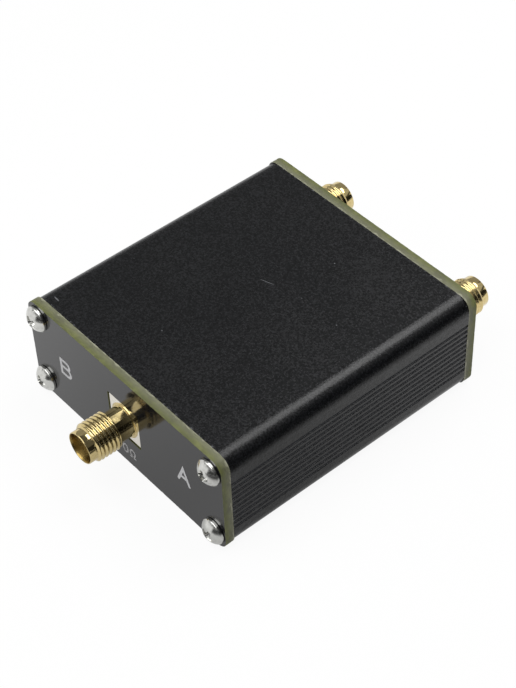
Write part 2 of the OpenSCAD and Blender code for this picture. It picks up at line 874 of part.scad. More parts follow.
module relay_armature() {
    color("#a4a7ab") at_rocker() block([-armature_reach, armature_reach], [-armature_w / 2, armature_w / 2],
        [-armature_t / 2, armature_t / 2]);
}

module spring_strip(gap) {
    block([-spring_reach, spring_reach], [spring_y - spring_w / 2 - gap, spring_y + spring_w / 2 + gap],
        [spring_low - gap, spring_top + gap]);
}

// The carrier wraps the armature's middle, with a cheek on each side for the springs and pins
module relay_contact_carrier() {
    span = [-carrier_reach, carrier_reach];
    color("#ded8c4") at_rocker() difference() {
        union() {
            block(span, [-carrier_half_w, carrier_half_w], [armature_t / 2 + slip, carrier_high]);
            both_rows() block(span, [armature_w / 2 + slip, carrier_half_w], [carrier_low, carrier_high]);
        }
        both_rows() {
            spring_strip(slip / 2);
            translate([0, carrier_half_w + cut, 0]) rotate([90, 0, 0])
                cylinder(h = carrier_half_w + cut - spring_y, r = pivot_r + slip / 2);
        }
    }
}

module relay_contact_springs() {
    color("#c98a4b") at_rocker() both_rows() spring_strip(0);
}

module relay_moving_contacts() {
    color("#d9dadb") at_rocker() both_rows() for (x = [-1, 1]) {
        translate([x * contact_x, spring_y, moving_contact_low]) cylinder(h = button_t, r = button_r);
    }
}

module relay_pivot_pins() {
    color("#c9a45a") at_rocker() both_rows() {
        translate([0, pin_reach, 0]) rotate([90, 0, 0]) cylinder(h = pin_reach - spring_y, r = pivot_r);
    }
}

// Choke and small parts

module at_choke() {
    translate([choke_x, choke_y, foot_z + terminal_t]) children();
}

module choke_core() {
    color("#3d3f42") at_choke() {
        cylinder(h = choke_h, r = choke_post_r);
        cylinder(h = choke_flange_t, r = choke_r);
        translate([0, 0, choke_h - choke_flange_t]) cylinder(h = choke_flange_t, r = choke_r);
    }
}

module choke_winding() {
    height = choke_h - 2 * choke_flange_t - 2 * slip;
    color("#b5652c") at_choke() difference() {
        translate([0, 0, choke_flange_t + slip]) cylinder(h = height, r = choke_r - choke_inset);
        cylinder(h = choke_h, r = choke_post_r + slip);
    }
}

// Two clips hold the lower flange and are soldered to the board
module choke_terminals() {
    side = [-clip_w / 2, clip_w / 2];
    rim = choke_r + slip;
    color("#c4c6c8") at_choke() for (x = [0, 1]) {
        mirror([x, 0, 0]) {
            block([choke_r / 3, rim + terminal_t], side, [-terminal_t, 0]);
            block([rim, rim + terminal_t], side, [-terminal_t, choke_flange_t]);
        }
    }
}

// A chip part lies along X; its body and its metal ends are separate pieces
module chip_body(l, w, h) {
    middle = l / 2 - l * chip_end;
    block([-middle, middle], [-w / 2, w / 2], [foot_z, foot_z + h]);
}

module chip_ends(l, w, h) {
    middle = l / 2 - l * chip_end;
    for (x = [0, 1]) {
        mirror([x, 0, 0]) block([middle, l / 2], [-w / 2, w / 2], [foot_z, foot_z + h]);
    }
}

module at_blocking_capacitors() {
    translate([0, common_cap_y, 0]) rotate(90) children();
    for (x = [-1, 1]) {
        translate([x * port_x, port_cap_y, 0]) rotate(90) children();
    }
}

module at_bypass_capacitors() {
    for (i = [0, 1]) {
        translate([bypass_x, choke_y + i * chip_pitch, 0]) children();
    }
}

module at_bias_resistors() {
    for (i = [0, 1]) {
        translate([resistor_x + i * (chip_pitch + chip_w), choke_y - chip_w, 0]) children();
    }
}

module blocking_capacitors() {
    color("#a98a62") at_blocking_capacitors() chip_body(blocking_l, blocking_w, blocking_h);
}

module bypass_capacitors() {
    color("#a98a62") at_bypass_capacitors() chip_body(chip_l, chip_w, chip_h);
}

module bias_resistors() {
    color("#1b1b1d") at_bias_resistors() chip_body(chip_l, chip_w, chip_h);
}

module chip_end_caps() {
    color("#c4c6c8") {
        at_blocking_capacitors() chip_ends(blocking_l, blocking_w, blocking_h);
        at_bypass_capacitors() chip_ends(chip_l, chip_w, chip_h);
        at_bias_resistors() chip_ends(chip_l, chip_w, chip_h);
    }
}

module at_diode() {
    translate([diode_x, diode_y, 0]) children();
}

module flyback_diode() {
    low = foot_z + terminal_t;
    color("#232325") at_diode()
        block([-diode_l / 2, diode_l / 2], [-diode_w / 2, diode_w / 2], [low, low + diode_h]);
}

module diode_tabs() {
    side = [-diode_tab_w / 2, diode_tab_w / 2];
    outer = diode_l / 2 + terminal_t;
    color("#c4c6c8") at_diode() for (x = [0, 1]) {
        mirror([x, 0, 0]) {
            block([diode_l / 2 - 1, outer], side, [foot_z, foot_z + terminal_t]);
            block([diode_l / 2, outer], side, [foot_z, foot_z + terminal_t + diode_h / 2]);
        }
    }
}

case();
front_panel();
rear_panel();
front_panel_screws();
rear_panel_screws();
common_jack_shell();
common_jack_insulator();
common_jack_contact();
port_a_jack_shell();
port_a_jack_insulator();
port_a_jack_contact();
port_b_jack_shell();
port_b_jack_insulator();
port_b_jack_contact();
circuit_board();
signal_tracks();
ground_plane();
jack_solder();
relay_base();
relay_cover();
relay_bobbin();
relay_coil();
relay_core();
relay_magnet();
relay_common_terminals();
relay_contact_terminals();
relay_coil_terminals();
relay_fixed_contacts();
relay_armature();
relay_contact_carrier();
relay_contact_springs();
relay_moving_contacts();
relay_pivot_pins();
choke_core();
choke_winding();
choke_terminals();
blocking_capacitors();
bypass_capacitors();
bias_resistors();
chip_end_caps();
flyback_diode();
diode_tabs();
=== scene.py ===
import math

import bmesh
import bpy
from mathutils import Matrix, Vector, noise
from mathutils.geometry import tessellate_polygon


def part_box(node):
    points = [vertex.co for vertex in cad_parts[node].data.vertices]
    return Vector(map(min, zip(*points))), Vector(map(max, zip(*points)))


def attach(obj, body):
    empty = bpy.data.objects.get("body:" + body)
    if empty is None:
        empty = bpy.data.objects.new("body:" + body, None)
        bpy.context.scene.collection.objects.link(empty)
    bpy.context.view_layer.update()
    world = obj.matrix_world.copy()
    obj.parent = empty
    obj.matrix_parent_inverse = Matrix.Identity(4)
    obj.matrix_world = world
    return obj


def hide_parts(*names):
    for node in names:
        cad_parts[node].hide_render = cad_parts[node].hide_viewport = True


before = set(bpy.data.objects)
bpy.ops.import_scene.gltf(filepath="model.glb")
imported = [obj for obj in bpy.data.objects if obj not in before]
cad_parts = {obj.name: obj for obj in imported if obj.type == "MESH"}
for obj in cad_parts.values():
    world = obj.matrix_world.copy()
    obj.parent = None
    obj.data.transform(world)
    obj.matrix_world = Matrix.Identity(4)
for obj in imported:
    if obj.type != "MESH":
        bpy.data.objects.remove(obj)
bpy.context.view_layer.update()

# The coaxial antenna switch, seen from the front right and above. The part's lengths are written in
# millimetres and turned to metres by MM, and those of the stage are in metres. X runs to the right,
# Y to the rear and Z up.
MM = 0.001

# Points closer than this are welded into one
weld = 0.0005 * MM

# The sockets, with -1 at the front and 1 at the rear
sockets = {"common": -1, "port_a": 1, "port_b": 1}

# Sockets: a 1/4-36 thread on a plain neck, behind a plain lead-in. A margin, here and on the screws,
# is the short plain stretch between a thread and its neighbour
thread_pitch = 25.4 / 36 * MM
thread_crest_r = 3.175 * MM
thread_depth = 0.2 * MM
thread_l = 4.05 * MM
thread_run_out = 0.34 * MM
thread_steps = 12
thread_margin = 0.02 * MM
lead_r = 2.68 * MM
lead_l = 1.65 * MM
lead_slope = 0.3 * MM
lead_margin = 0.03 * MM
neck_r = 2.6 * MM
mouth_r = 2.3 * MM
mouth_depth = 1.9 * MM
mouth_taper = 0.24 * MM
insulator_bore_r = 2.05 * MM
barrel_chamfer = 0.2 * MM
flange_t = 1.6 * MM
flange_w = 6.9 * MM
flange_corner_r = 0.15 * MM
flange_hole_gap = 0.02 * MM
boss_r = 3.0 * MM
boss_h = 0.12 * MM
leg_w = 1.1 * MM
leg_h = 1.2 * MM
leg_root = 0.1 * MM
edge_break = 0.06 * MM
solder_gap = 0.02 * MM

# How far the backs of the flanges lie behind the faces of the panels
flange_back = 1.75 * MM

# Screws: M2.5, pan heads at the front and countersunk ones at the rear, all with a cross recess
head_r = 2.2 * MM
head_h = 1.65 * MM
dome_r = 2.65 * MM
dome_steps = 16
shoulder_r = 0.3 * MM
shoulder_steps = 8
flat_head_r = 2.2 * MM
flat_rim = 0.15 * MM
flat_sunk = 0.04 * MM
shank_r = 1.25 * MM
shank_l = 8 * MM
shank_top = {"front": 0.1 * MM, "rear": -0.9 * MM}
shank_margin = 0.05 * MM
shank_point = 0.6 * MM
shank_pitch = 0.45 * MM
shank_depth = 0.2 * MM
shank_crest = 0.01 * MM
shank_steps = 8
shank_top_share = 0.8
shank_point_share = 0.55
recess_reach = 1.28 * MM
recess_w = 0.66 * MM
recess_depth = 1.25 * MM
recess_core = 0.62 * MM
recess_tip = 0.3 * MM

# How much of the recess's reach, width and core is gone at its floor, and the shares of its depth
# at which its outline is drawn
reach_taper = 0.62
width_taper = 0.42
core_taper = 0.45
recess_levels = (-0.12, 0.0, 0.45, 1.0)

# The end and the root of a wing of the recess, as shares of half its width
wing_end_l = 0.3
wing_end_w = 0.6
wing_root = 1.15

# Half the width of the heads' solids, which is how far in from their box the screws stand
solid_head_r = {"front": 2.25 * MM, "rear": 2.2 * MM}

# How far each screw is turned, in degrees, by its side to the left or right and down or up
screw_turns = {
    "front": {(-1, -1): 20, (-1, 1): 35, (1, -1): 62, (1, 1): 10},
    "rear": {(-1, -1): 75, (-1, 1): 5, (1, -1): 40, (1, 1): 28},
}

# Roundings and flares of turned edges: steps in millimetres from the sharp corner, outwards and up
boss_rim = ((0, -0.04), (-0.05, 0))
neck_foot = ((0.12, 0), (0.03, 0.05), (0, 0.14))
lead_lip = ((0, -0.1), (-0.03, -0.03), (-0.07, 0))
mouth_rim = ((0, 0), (-0.03, -0.04))
mouth_flare = ((0.144, -0.4), (0, -1.2))
mouth_floor = ((0, 0.05), (-0.04, 0))
bore_rim = ((0.03, 0), (0, -0.04))
pan_foot = ((0, 0.1), (-0.07, 0.02), (-0.16, 0))
flat_brim = ((-0.1, 0), (-0.03, -0.02), (0, -0.05))

# A hair off the axis, where a screw's profile starts and ends, and the angle where its crown starts
axis_r = 0.001 * MM
crown_start = 0.0004

# Panels: laminate with a mask on both faces, sawn and routed at the edge
panel_corner_r = 2.1 * MM
cutout_gap = 0.14 * MM
cutout_r = 0.2 * MM
screw_hole_r = 1.4 * MM
screw_hole_gap = 0.02 * MM
screw_hole_reach = 0.01 * MM
rim_break = 0.03 * MM
rim_tear = 1.6
tear_depth = 0.05 * MM
tear_size = 0.45 * MM
tear_pitch = 0.2 * MM
fine_tear_share = 0.5
fine_tear_scale = 2.7

# Print on the front panel
port_letter_h = 2.93 * MM
port_letter_w = {"B": 2.3 * MM, "A": 2.45 * MM}
port_letter_z = 9.08 * MM
port_letter_stroke = 0.52 * MM
port_letter_x = {"B": -14.6 * MM, "A": 13.95 * MM}
mark_h = 1.65 * MM
mark_w = 1.28 * MM
mark_pitch = 1.75 * MM
mark_x = -0.48 * MM
mark_z = 2.95 * MM
mark_stroke = 0.29 * MM
print_t = 0.02 * MM
print_step = 0.001 * MM
mitre_limit = 0.35
round_end_steps = 8

# The case's skin: how deep the floors of the grooves lie and how far they reach up and down, where
# they are painted paler as painted light against their shade, and the strip along the sawn ends that has
# nicks, painted paler also as a painted highlight of the edge
groove_floor = 0.21 * MM
groove_floor_half = 0.13 * MM
groove_drop = 0.3 * MM
groove_field_half = 5.1 * MM
nicks_highlight_start = 0.28 * MM
nicks_highlight_full = 0.04 * MM

# Wear on the top of the case: the mark's middle and half sizes in millimetres, its turn in degrees
scratch = ((-0.8, 4.0, 18.5), 18, (1.5, 0.06, 0.4))
corner_nick = ((-19.5, -21.9, 18.5), -3, (0.75, 0.13, 0.4))

# How sharply the gold's colour changes to the painted highlight on the flange and the painted shade in the
# bore
gold_fade = 0.03 * MM

# Camera, from the fit of the part's edges to the photograph
view_azimuth = math.radians(51.14)
view_elevation = math.radians(45.48)
view_roll = math.radians(-2.474)
view_aim = Vector((-3.62, 3.93, 3.01)) * MM
view_distance = 279.33 * MM
view_lens = 92.04
view_sensor = 36
view_clip = 0.01

# The floor as the camera and glossy surfaces see it: how white it is, and, for glossy surfaces, how
# dark the shade painted on it round the part and how dark the patch painted on it to the right of it
floor_size = 3.0
floor_white = 0.93
painted_shade_middle = Vector((10, -12, 0)) * MM
painted_shade_reach = (12 * MM, 48 * MM)
painted_shade_tone = 0.56
dark_patch_side = (0.95, -0.3, 0)
dark_patch_reach = (35 * MM, 64 * MM)
dark_patch_tone = 0.08

# Places read from the frame
case_low, case_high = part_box("case")
case_side = case_high.x
case_end = case_high.y
groove_z = (case_low.z + case_high.z) / 2 - groove_drop
face_y = -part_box("front_panel")[0].y
back_y = face_y - flange_back
shell_low, shell_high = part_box("common_jack_shell")
axis_z = (shell_low.z + shell_high.z) / 2
leg_l = back_y + shell_high.y
board_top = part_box("circuit_board")[1].z + solder_gap
board_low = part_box("ground_plane")[0].z - solder_gap


# Meshes

def piece(name, mesh, matrix=None):
    """A new object in the scene that holds a mesh."""
    made = bpy.data.objects.new(name, mesh)
    bpy.context.scene.collection.objects.link(made)
    if matrix is not None:
        made.matrix_world = matrix
    return made


def mesh_of(name, verts, faces, smooth=None):
    """A mesh from points and faces. Edges sharper than the smooth angle stay sharp."""
    mesh = bpy.data.meshes.new(name)
    mesh.from_pydata(verts, [], faces)
    tidy_mesh(mesh, smooth)
    return mesh


def tidy_mesh(mesh, smooth):
    """Welds a mesh, turns its faces outwards and shades it smooth below an angle."""
    work = bmesh.new()
    work.from_mesh(mesh)
    bmesh.ops.remove_doubles(work, verts=work.verts, dist=weld)
    bmesh.ops.recalc_face_normals(work, faces=work.faces)
    work.to_mesh(mesh)
    work.free()
    if smooth is not None:
        mesh.shade_smooth()
        mesh.set_sharp_from_angle(angle=math.radians(smooth))


def settled(made):
    """The mesh of an object with its modifiers applied."""
    depsgraph = bpy.context.evaluated_depsgraph_get()
    return bpy.data.meshes.new_from_object(made.evaluated_get(depsgraph))


def joined(name, meshes):
    """Several meshes in one, each a closed shell of its own."""
    work = bmesh.new()
    for part in meshes:
        work.from_mesh(part)
    mesh = bpy.data.meshes.new(name)
    work.to_mesh(mesh)
    work.free()
    return mesh


def ring_faces(rings, around, closed):
    """Quads between neighbouring rings of points, and back to the first ring if closed."""
    faces = []
    for i in range(rings if closed else rings - 1):
        low, high = i * around, (i + 1) % rings * around
        for j in range(around):
            k = (j + 1) % around
            faces.append((low + j, low + k, high + k, high + j))
    return faces


def turned(name, profile, around, smooth, radius_at=None):
    """A turned ring: a closed profile of (radius, height) points swept round the Z axis."""
    verts = []
    for r, z in profile:
        for j in range(around):
            angle = 2 * math.pi * j / around
            here = radius_at(r, z, angle) if radius_at else r
            verts.append((here * math.cos(angle), here * math.sin(angle), z))
    return mesh_of(name, verts, ring_faces(len(profile), around, True), smooth)


def rounded_square(width, height, radius, steps):
    """Corner points of a rounded rectangle round the origin."""
    points = []
    for quarter, (sx, sy) in enumerate(((1, 1), (-1, 1), (-1, -1), (1, -1))):
        for i in range(steps + 1):
            angle = math.pi / 2 * (quarter + i / steps)
            points.append((
                sx * (width / 2 - radius) + radius * math.cos(angle),
                sy * (height / 2 - radius) + radius * math.sin(angle),
            ))
    return points


def circle_points(x, y, radius, count):
    """Points of a circle."""
    return [
        (x + radius * math.cos(2 * math.pi * i / count), y + radius * math.sin(2 * math.pi * i / count))
        for i in range(count)
    ]


def eased(r, z, steps):
    """Points of a profile at small steps, in millimetres, from a sharp corner."""
    return [(r + outwards * MM, z + up * MM) for outwards, up in steps]


def plate(name, outlines, levels, smooth):
    """A closed plate. Its outlines are rows of points, the first one round the outside and the rest
    round the holes. At each level of (height, inset) they are drawn in, or their holes widened."""
    rings = []
    for outline in outlines:
        count = len(outline)
        points = [Vector(p) for p in outline]
        turning = sum(a.cross(b) for a, b in zip(points, points[1:] + points[:1]))
        outwards = 1 if (turning > 0) == (outline is outlines[0]) else -1
        normals = []
        for i in range(count):
            along = points[(i + 1) % count] - points[i - 1]
            normals.append(Vector((-along.y, along.x)).normalized() * outwards)
        rings.append((points, normals))
    verts = []
    faces = []
    total = sum(len(outline) for outline in outlines)
    for height, inset in levels:
        for points, normals in rings:
            for point, normal in zip(points, normals):
                here = inset(point, height) if callable(inset) else inset
                moved = point + normal * here
                verts.append((moved.x, moved.y, height))
    start = 0
    for outline in outlines:
        count = len(outline)
        for level in range(len(levels) - 1):
            low, high = level * total + start, (level + 1) * total + start
            for i in range(count):
                k = (i + 1) % count
                faces.append((low + i, low + k, high + k, high + i))
        start += count
    for level in (0, len(levels) - 1):
        rows = []
        first = level * total
        for outline in outlines:
            rows.append([Vector(verts[first + i]) for i in range(len(outline))])
            first += len(outline)
        for triangle in tessellate_polygon(rows):
            faces.append(tuple(level * total + i for i in triangle))
    return mesh_of(name, verts, faces, smooth)


def block(name, low, high, bevel):
    """A box with broken edges."""
    work = bmesh.new()
    bmesh.ops.create_cube(work, size=1)
    for vert in work.verts:
        vert.co = [(a + b) / 2 + c * (b - a) for a, b, c in zip(low, high, vert.co)]
    bmesh.ops.bevel(work, geom=work.edges[:], offset=bevel, segments=2, profile=0.5, affect="EDGES")
    mesh = bpy.data.meshes.new(name)
    work.to_mesh(mesh)
    work.free()
    tidy_mesh(mesh, smooth=40)
    return mesh


def facing(y_sign, x, y, z):
    """Where a socket or screw stands: its own Z points out of the front or the rear face."""
    side = -y_sign
    return Matrix((
        (side, 0, 0, x),
        (0, 0, y_sign, y),
        (0, 1, 0, z),
        (0, 0, 0, 1),
    ))


# Materials

def linear(colour):
    """An sRGB hex colour as linear RGBA."""
    parts = [int(colour[i:i + 2], 16) / 255 for i in (1, 3, 5)]
    return [c / 12.92 if c <= 0.04045 else ((c + 0.055) / 1.055) ** 2.4 for c in parts] + [1.0]


def link(tree, node, sources):
    """Links a node's sockets, each from another socket or from a node's first output in use."""
    for key, source in sources.items():
        if isinstance(source, bpy.types.Node):
            source = next(output for output in source.outputs if output.enabled)
        tree.links.new(source, node.inputs[key])


def add(tree, kind, settings=None, sources=None):
    """Adds a node to a tree. Settings go to its own fields or to its sockets, and stops, which are
    rows of (position, hex colour), to its colour ramp. Sources are linked to its sockets."""
    made = tree.nodes.new(kind)
    for key, value in (settings or {}).items():
        if key == "stops":
            points = made.color_ramp.elements
            while len(points) < len(value):
                points.new(0.5)
            for point, (position, colour) in zip(points, value):
                point.position = position
                point.color = linear(colour)
        elif isinstance(key, str) and hasattr(made, key):
            setattr(made, key, value)
        else:
            made.inputs[key].default_value = value
    link(tree, made, sources or {})
    return made


def empty_tree(owner):
    """The node tree of a material or a world, with nothing in it."""
    owner.use_nodes = True
    owner.node_tree.nodes.clear()
    return owner.node_tree


def surface(name, settings):
    """A material with one shader, and the object's own coordinates in metres."""
    made = bpy.data.materials.new(name)
    tree = empty_tree(made)
    shader = add(tree, "ShaderNodeBsdfPrincipled", settings)
    add(tree, "ShaderNodeOutputMaterial", None, {"Surface": shader})
    where = add(tree, "ShaderNodeTexCoord").outputs["Object"]
    return made, tree, shader, where


def per(size_mm):
    """The scale of a pattern whose features are this many millimetres apart."""
    return 1 / (size_mm * MM)


def bands(size_mm):
    """The scale of a wave texture whose bands are this many millimetres apart. At a scale of 1 they
    are a tenth of pi apart."""
    return per(size_mm) * math.pi / 10


def plain(name, colours, rough, grain_mm, depth_mm, metal):
    """A finish whose colour, gloss and relief all follow one grain of a real size."""
    made, tree, shader, where = surface(name, {"Metallic": 1.0 if metal else 0.0})
    grain = add(tree, "ShaderNodeTexNoise", {"Scale": per(grain_mm), "Detail": 4.0}, {"Vector": where})
    tone = add(tree, "ShaderNodeValToRGB", {"stops": [(0.3, colours[0]), (0.7, colours[1])]}, {"Fac": grain})
    gloss = add(tree, "ShaderNodeMapRange", {"To Min": rough[0], "To Max": rough[1]}, {"Value": grain})
    bump = add(tree, "ShaderNodeBump", {"Distance": depth_mm * MM}, {"Height": grain})
    link(tree, shader, {"Base Color": tone, "Roughness": gloss, "Normal": bump})
    return made


def wear_mark(tree, where, place_mm, angle, half_mm):
    """A mask that is 1 in the middle of one slim oval mark at a place and fades to its ends."""
    settings = {"vector_type": "TEXTURE", "Location": [v * MM for v in place_mm],
                "Rotation": (0, 0, math.radians(angle)), "Scale": [v * MM for v in half_mm]}
    near = add(tree, "ShaderNodeMapping", settings, {"Vector": where})
    fade = add(tree, "ShaderNodeTexGradient", {"gradient_type": "SPHERICAL"}, {"Vector": near})
    return add(tree, "ShaderNodeMapRange", {"From Max": 0.35}, {"Value": fade.outputs["Fac"]})


def anodised_aluminium():
    """Extruded aluminium, bead-blasted and anodised black: a fine matt grain that glints here and
    there, as its sheen and gloss follow it. The floors of the grooves are painted a shade paler, as
    painted light that lifts the shade in them. Along the sawn ends there are bare nicks, painted paler
    also as a painted highlight of the edge, and on the top a little dust, one scratch and one nick.
    The grain is drawn twice as coarse as it is, so that it shows."""
    made, tree, shader, where = surface("anodised_aluminium", {"IOR": 1.5})
    place = add(tree, "ShaderNodeSeparateXYZ", None, {0: where})
    grain = add(tree, "ShaderNodeTexNoise", {"Scale": per(0.34), "Detail": 3.0, "Roughness": 0.65},
                {"Vector": where})
    black = add(tree, "ShaderNodeValToRGB",
                {"stops": [(0.36, "#08090a"), (0.55, "#0c0d0f"), (0.68, "#131418")]}, {"Fac": grain})

    across = add(tree, "ShaderNodeMath", {"operation": "ABSOLUTE"}, {0: place.outputs["X"]})
    deep = add(tree, "ShaderNodeMath",
               {"operation": "COMPARE", 1: case_side - groove_floor, 2: groove_floor_half}, {0: across})
    level = add(tree, "ShaderNodeMath",
                {"operation": "COMPARE", 1: groove_z, 2: groove_field_half}, {0: place.outputs["Z"]})
    groove_painted_light = add(tree, "ShaderNodeMath", {"operation": "MULTIPLY"}, {0: deep, 1: level})
    # The grooves' floors are painted a paler grey, as painted light that lifts their shade
    tone = add(tree, "ShaderNodeMix", {"data_type": "RGBA", "B": linear("#444548")},
               {"Factor": groove_painted_light, "A": black})

    cells = add(tree, "ShaderNodeTexVoronoi", {"Scale": per(1.1)}, {"Vector": where})
    specks = add(tree, "ShaderNodeMapRange",
                 {"From Min": 0.07, "From Max": 0.13, "To Min": 1.0, "To Max": 0.0},
                 {"Value": cells.outputs["Distance"]})
    rare = add(tree, "ShaderNodeMath", {"operation": "GREATER_THAN", 1: 0.93}, {0: cells.outputs["Color"]})
    marks = add(tree, "ShaderNodeMath", {"operation": "MULTIPLY"}, {0: specks, 1: rare})
    # A ragged strip along the sawn ends is painted paler: partly bare nicks, partly a painted highlight of
    # the edge
    along = add(tree, "ShaderNodeMath", {"operation": "ABSOLUTE"}, {0: place.outputs["Y"]})
    ends = add(tree, "ShaderNodeMapRange",
               {"From Min": case_end - nicks_highlight_start, "From Max": case_end - nicks_highlight_full}, {"Value": along})
    chip_and_highlight_spots = add(tree, "ShaderNodeTexNoise", {"Scale": per(0.45), "Detail": 2.0}, {"Vector": where})
    chip_and_highlight_spots = add(tree, "ShaderNodeMapRange", {"From Min": 0.58, "From Max": 0.66}, {"Value": chip_and_highlight_spots})
    nicks_and_edge_highlight = add(tree, "ShaderNodeMath", {"operation": "MULTIPLY"}, {0: ends, 1: chip_and_highlight_spots})
    for each_mark in (nicks_and_edge_highlight, wear_mark(tree, where, *scratch), wear_mark(tree, where, *corner_nick)):
        marks = add(tree, "ShaderNodeMath", {"operation": "MAXIMUM"}, {0: marks, 1: each_mark})
    # One grey for the dust, the scratch and the nicks, and for the painted highlight along the sawn ends
    wear_and_painted_light = add(tree, "ShaderNodeMix", {"data_type": "RGBA", "B": linear("#5c5d60")},
               {"Factor": marks, "A": tone})

    sheen = add(tree, "ShaderNodeMapRange",
                {"From Min": 0.4, "From Max": 0.62, "To Min": 0.25, "To Max": 0.41}, {"Value": grain})
    drift = add(tree, "ShaderNodeTexNoise", {"Scale": per(14), "Detail": 2.0}, {"Vector": where})
    drift = add(tree, "ShaderNodeMapRange", {"To Min": 0.3, "To Max": 0.7}, {"Value": drift})
    mixed = add(tree, "ShaderNodeMath", {"operation": "MULTIPLY"}, {0: grain, 1: drift})
    rough = add(tree, "ShaderNodeMapRange",
                {"From Min": 0.13, "From Max": 0.37, "To Min": 0.18, "To Max": 0.36}, {"Value": mixed})
    bump = add(tree, "ShaderNodeBump", {"Distance": 0.03 * MM}, {"Height": grain})
    link(tree, shader, {"Base Color": wear_and_painted_light, "Specular IOR Level": sheen, "Roughness": rough, "Normal": bump})
    return made


def panel_mask():
    """Black solder mask, cured glossy over the laminate: a smooth face that mirrors what is before
    it, with the faint weave of the cloth below."""
    made, tree, shader, where = surface("panel_mask", {"IOR": 1.4, "Roughness": 0.1})
    weave = add(tree, "ShaderNodeTexWave", {"Scale": bands(0.754), "Distortion": 1.5}, {"Vector": where})
    tone = add(tree, "ShaderNodeValToRGB", {"stops": [(0.0, "#121214"), (1.0, "#161618")]}, {"Fac": weave})
    drift = add(tree, "ShaderNodeTexNoise", {"Scale": per(6), "Detail": 1.0}, {"Vector": where})
    bump = add(tree, "ShaderNodeBump", {"Distance": 0.004 * MM}, {"Height": drift})
    link(tree, shader, {"Base Color": tone, "Normal": bump})
    return made


def laminate_edge():
    """Glass laminate, routed: an olive edge, greener towards the outer face and paler towards the
    inner one, with a light rim of torn fibres and layers of cloth along it."""
    made, tree, shader, where = surface("laminate_edge", {"IOR": 1.5})
    stretched = add(tree, "ShaderNodeMapping", {"Scale": (per(0.9), per(0.9), per(0.16))}, {"Vector": where})
    layers = add(tree, "ShaderNodeTexNoise", {"Scale": 1.0, "Detail": 3.0}, {"Vector": stretched})
    drift = add(tree, "ShaderNodeTexNoise", {"Scale": per(2.2), "Detail": 2.0}, {"Vector": where})
    mixed = add(tree, "ShaderNodeMath", {"operation": "ADD"}, {0: layers, 1: drift})
    through = add(tree, "ShaderNodeSeparateXYZ", None, {0: where}).outputs["Z"]
    uneven = add(tree, "ShaderNodeMath", {"operation": "MULTIPLY_ADD", 1: 1.1 * MM}, {0: mixed, 2: through})

    shade = add(tree, "ShaderNodeMapRange", {"From Min": 0.65, "From Max": 1.35}, {"Value": mixed})
    outer = add(tree, "ShaderNodeValToRGB",
                {"stops": [(0.0, "#464a21"), (0.5, "#595d30"), (1.0, "#6b6e40")]}, {"Fac": shade})
    inner = add(tree, "ShaderNodeValToRGB",
                {"stops": [(0.0, "#51523b"), (0.5, "#62634b"), (1.0, "#74755c")]}, {"Fac": shade})
    outwards = add(tree, "ShaderNodeMapRange", {"From Min": 1.6 * MM, "From Max": 2.4 * MM},
                   {"Value": uneven})
    body = add(tree, "ShaderNodeMix", {"data_type": "RGBA"}, {"Factor": outwards, "A": inner, "B": outer})
    rim = add(tree, "ShaderNodeMapRange",
              {"From Min": 1.05 * MM, "From Max": 1.3 * MM, "To Min": 1.0, "To Max": 0.0}, {"Value": uneven})
    frayed = add(tree, "ShaderNodeMix", {"data_type": "RGBA", "B": linear("#8f8f7b")},
                 {"Factor": rim, "A": body})

    rough = add(tree, "ShaderNodeMapRange", {"To Min": 0.45, "To Max": 0.75}, {"Value": layers})
    bump = add(tree, "ShaderNodeBump", {"Distance": 0.03 * MM}, {"Height": layers})
    link(tree, shader, {"Base Color": frayed, "Roughness": rough, "Normal": bump})
    return made


def gold_brass():
    """Turned brass, plated with gold: a bright warm mirror with faint turning marks. The milled flange
    is painted pale, nearly white, as a painted highlight, and the drilled bore is dull and painted brown and
    darker, as painted shade."""
    made, tree, shader, where = surface("gold_brass", {"Metallic": 1.0})
    marks = add(tree, "ShaderNodeTexNoise", {"Scale": per(0.35), "Detail": 3.0}, {"Vector": where})
    turned_tone = add(tree, "ShaderNodeValToRGB", {"stops": [(0.3, "#c8b37c"), (0.7, "#d9c793")]},
                      {"Fac": marks})
    # The flange's near-white colour is a painted highlight
    flange_highlight_tone = add(tree, "ShaderNodeValToRGB", {"stops": [(0.3, "#ebe5d9"), (0.7, "#f8f4ea")]},
                      {"Fac": marks})
    place = add(tree, "ShaderNodeSeparateXYZ", None, {0: where})
    flange_painted_highlight = add(tree, "ShaderNodeMapRange",
                 {"From Min": flange_t, "From Max": flange_t + gold_fade, "To Min": 1.0, "To Max": 0.0},
                 {"Value": place.outputs["Z"]})
    outside = add(tree, "ShaderNodeMix", {"data_type": "RGBA"},
                  {"Factor": flange_painted_highlight, "A": turned_tone, "B": flange_highlight_tone})
    across = add(tree, "ShaderNodeCombineXYZ", None, {0: place.outputs["X"], 1: place.outputs["Y"]})
    across = add(tree, "ShaderNodeVectorMath", {"operation": "LENGTH"}, {0: across})
    wide = mouth_r + mouth_taper
    # Inside the bore the gold is painted darker and brown as painted shade, and made duller
    bore_shade_and_dullness = add(tree, "ShaderNodeMapRange",
               {"From Min": wide - gold_fade, "From Max": wide, "To Min": 1.0, "To Max": 0.0},
               {"Value": across})
    tone = add(tree, "ShaderNodeMix", {"data_type": "RGBA", "B": linear("#9c8650")},
               {"Factor": bore_shade_and_dullness, "A": outside})

    gloss = add(tree, "ShaderNodeMapRange", {"To Min": 0.05, "To Max": 0.12}, {"Value": marks})
    rough = add(tree, "ShaderNodeMix", {"B": 0.34}, {"Factor": bore_shade_and_dullness, "A": gloss})
    bump = add(tree, "ShaderNodeBump", {"Distance": 0.0015 * MM}, {"Height": marks})
    link(tree, shader, {"Base Color": tone, "Roughness": rough, "Normal": bump})
    return made


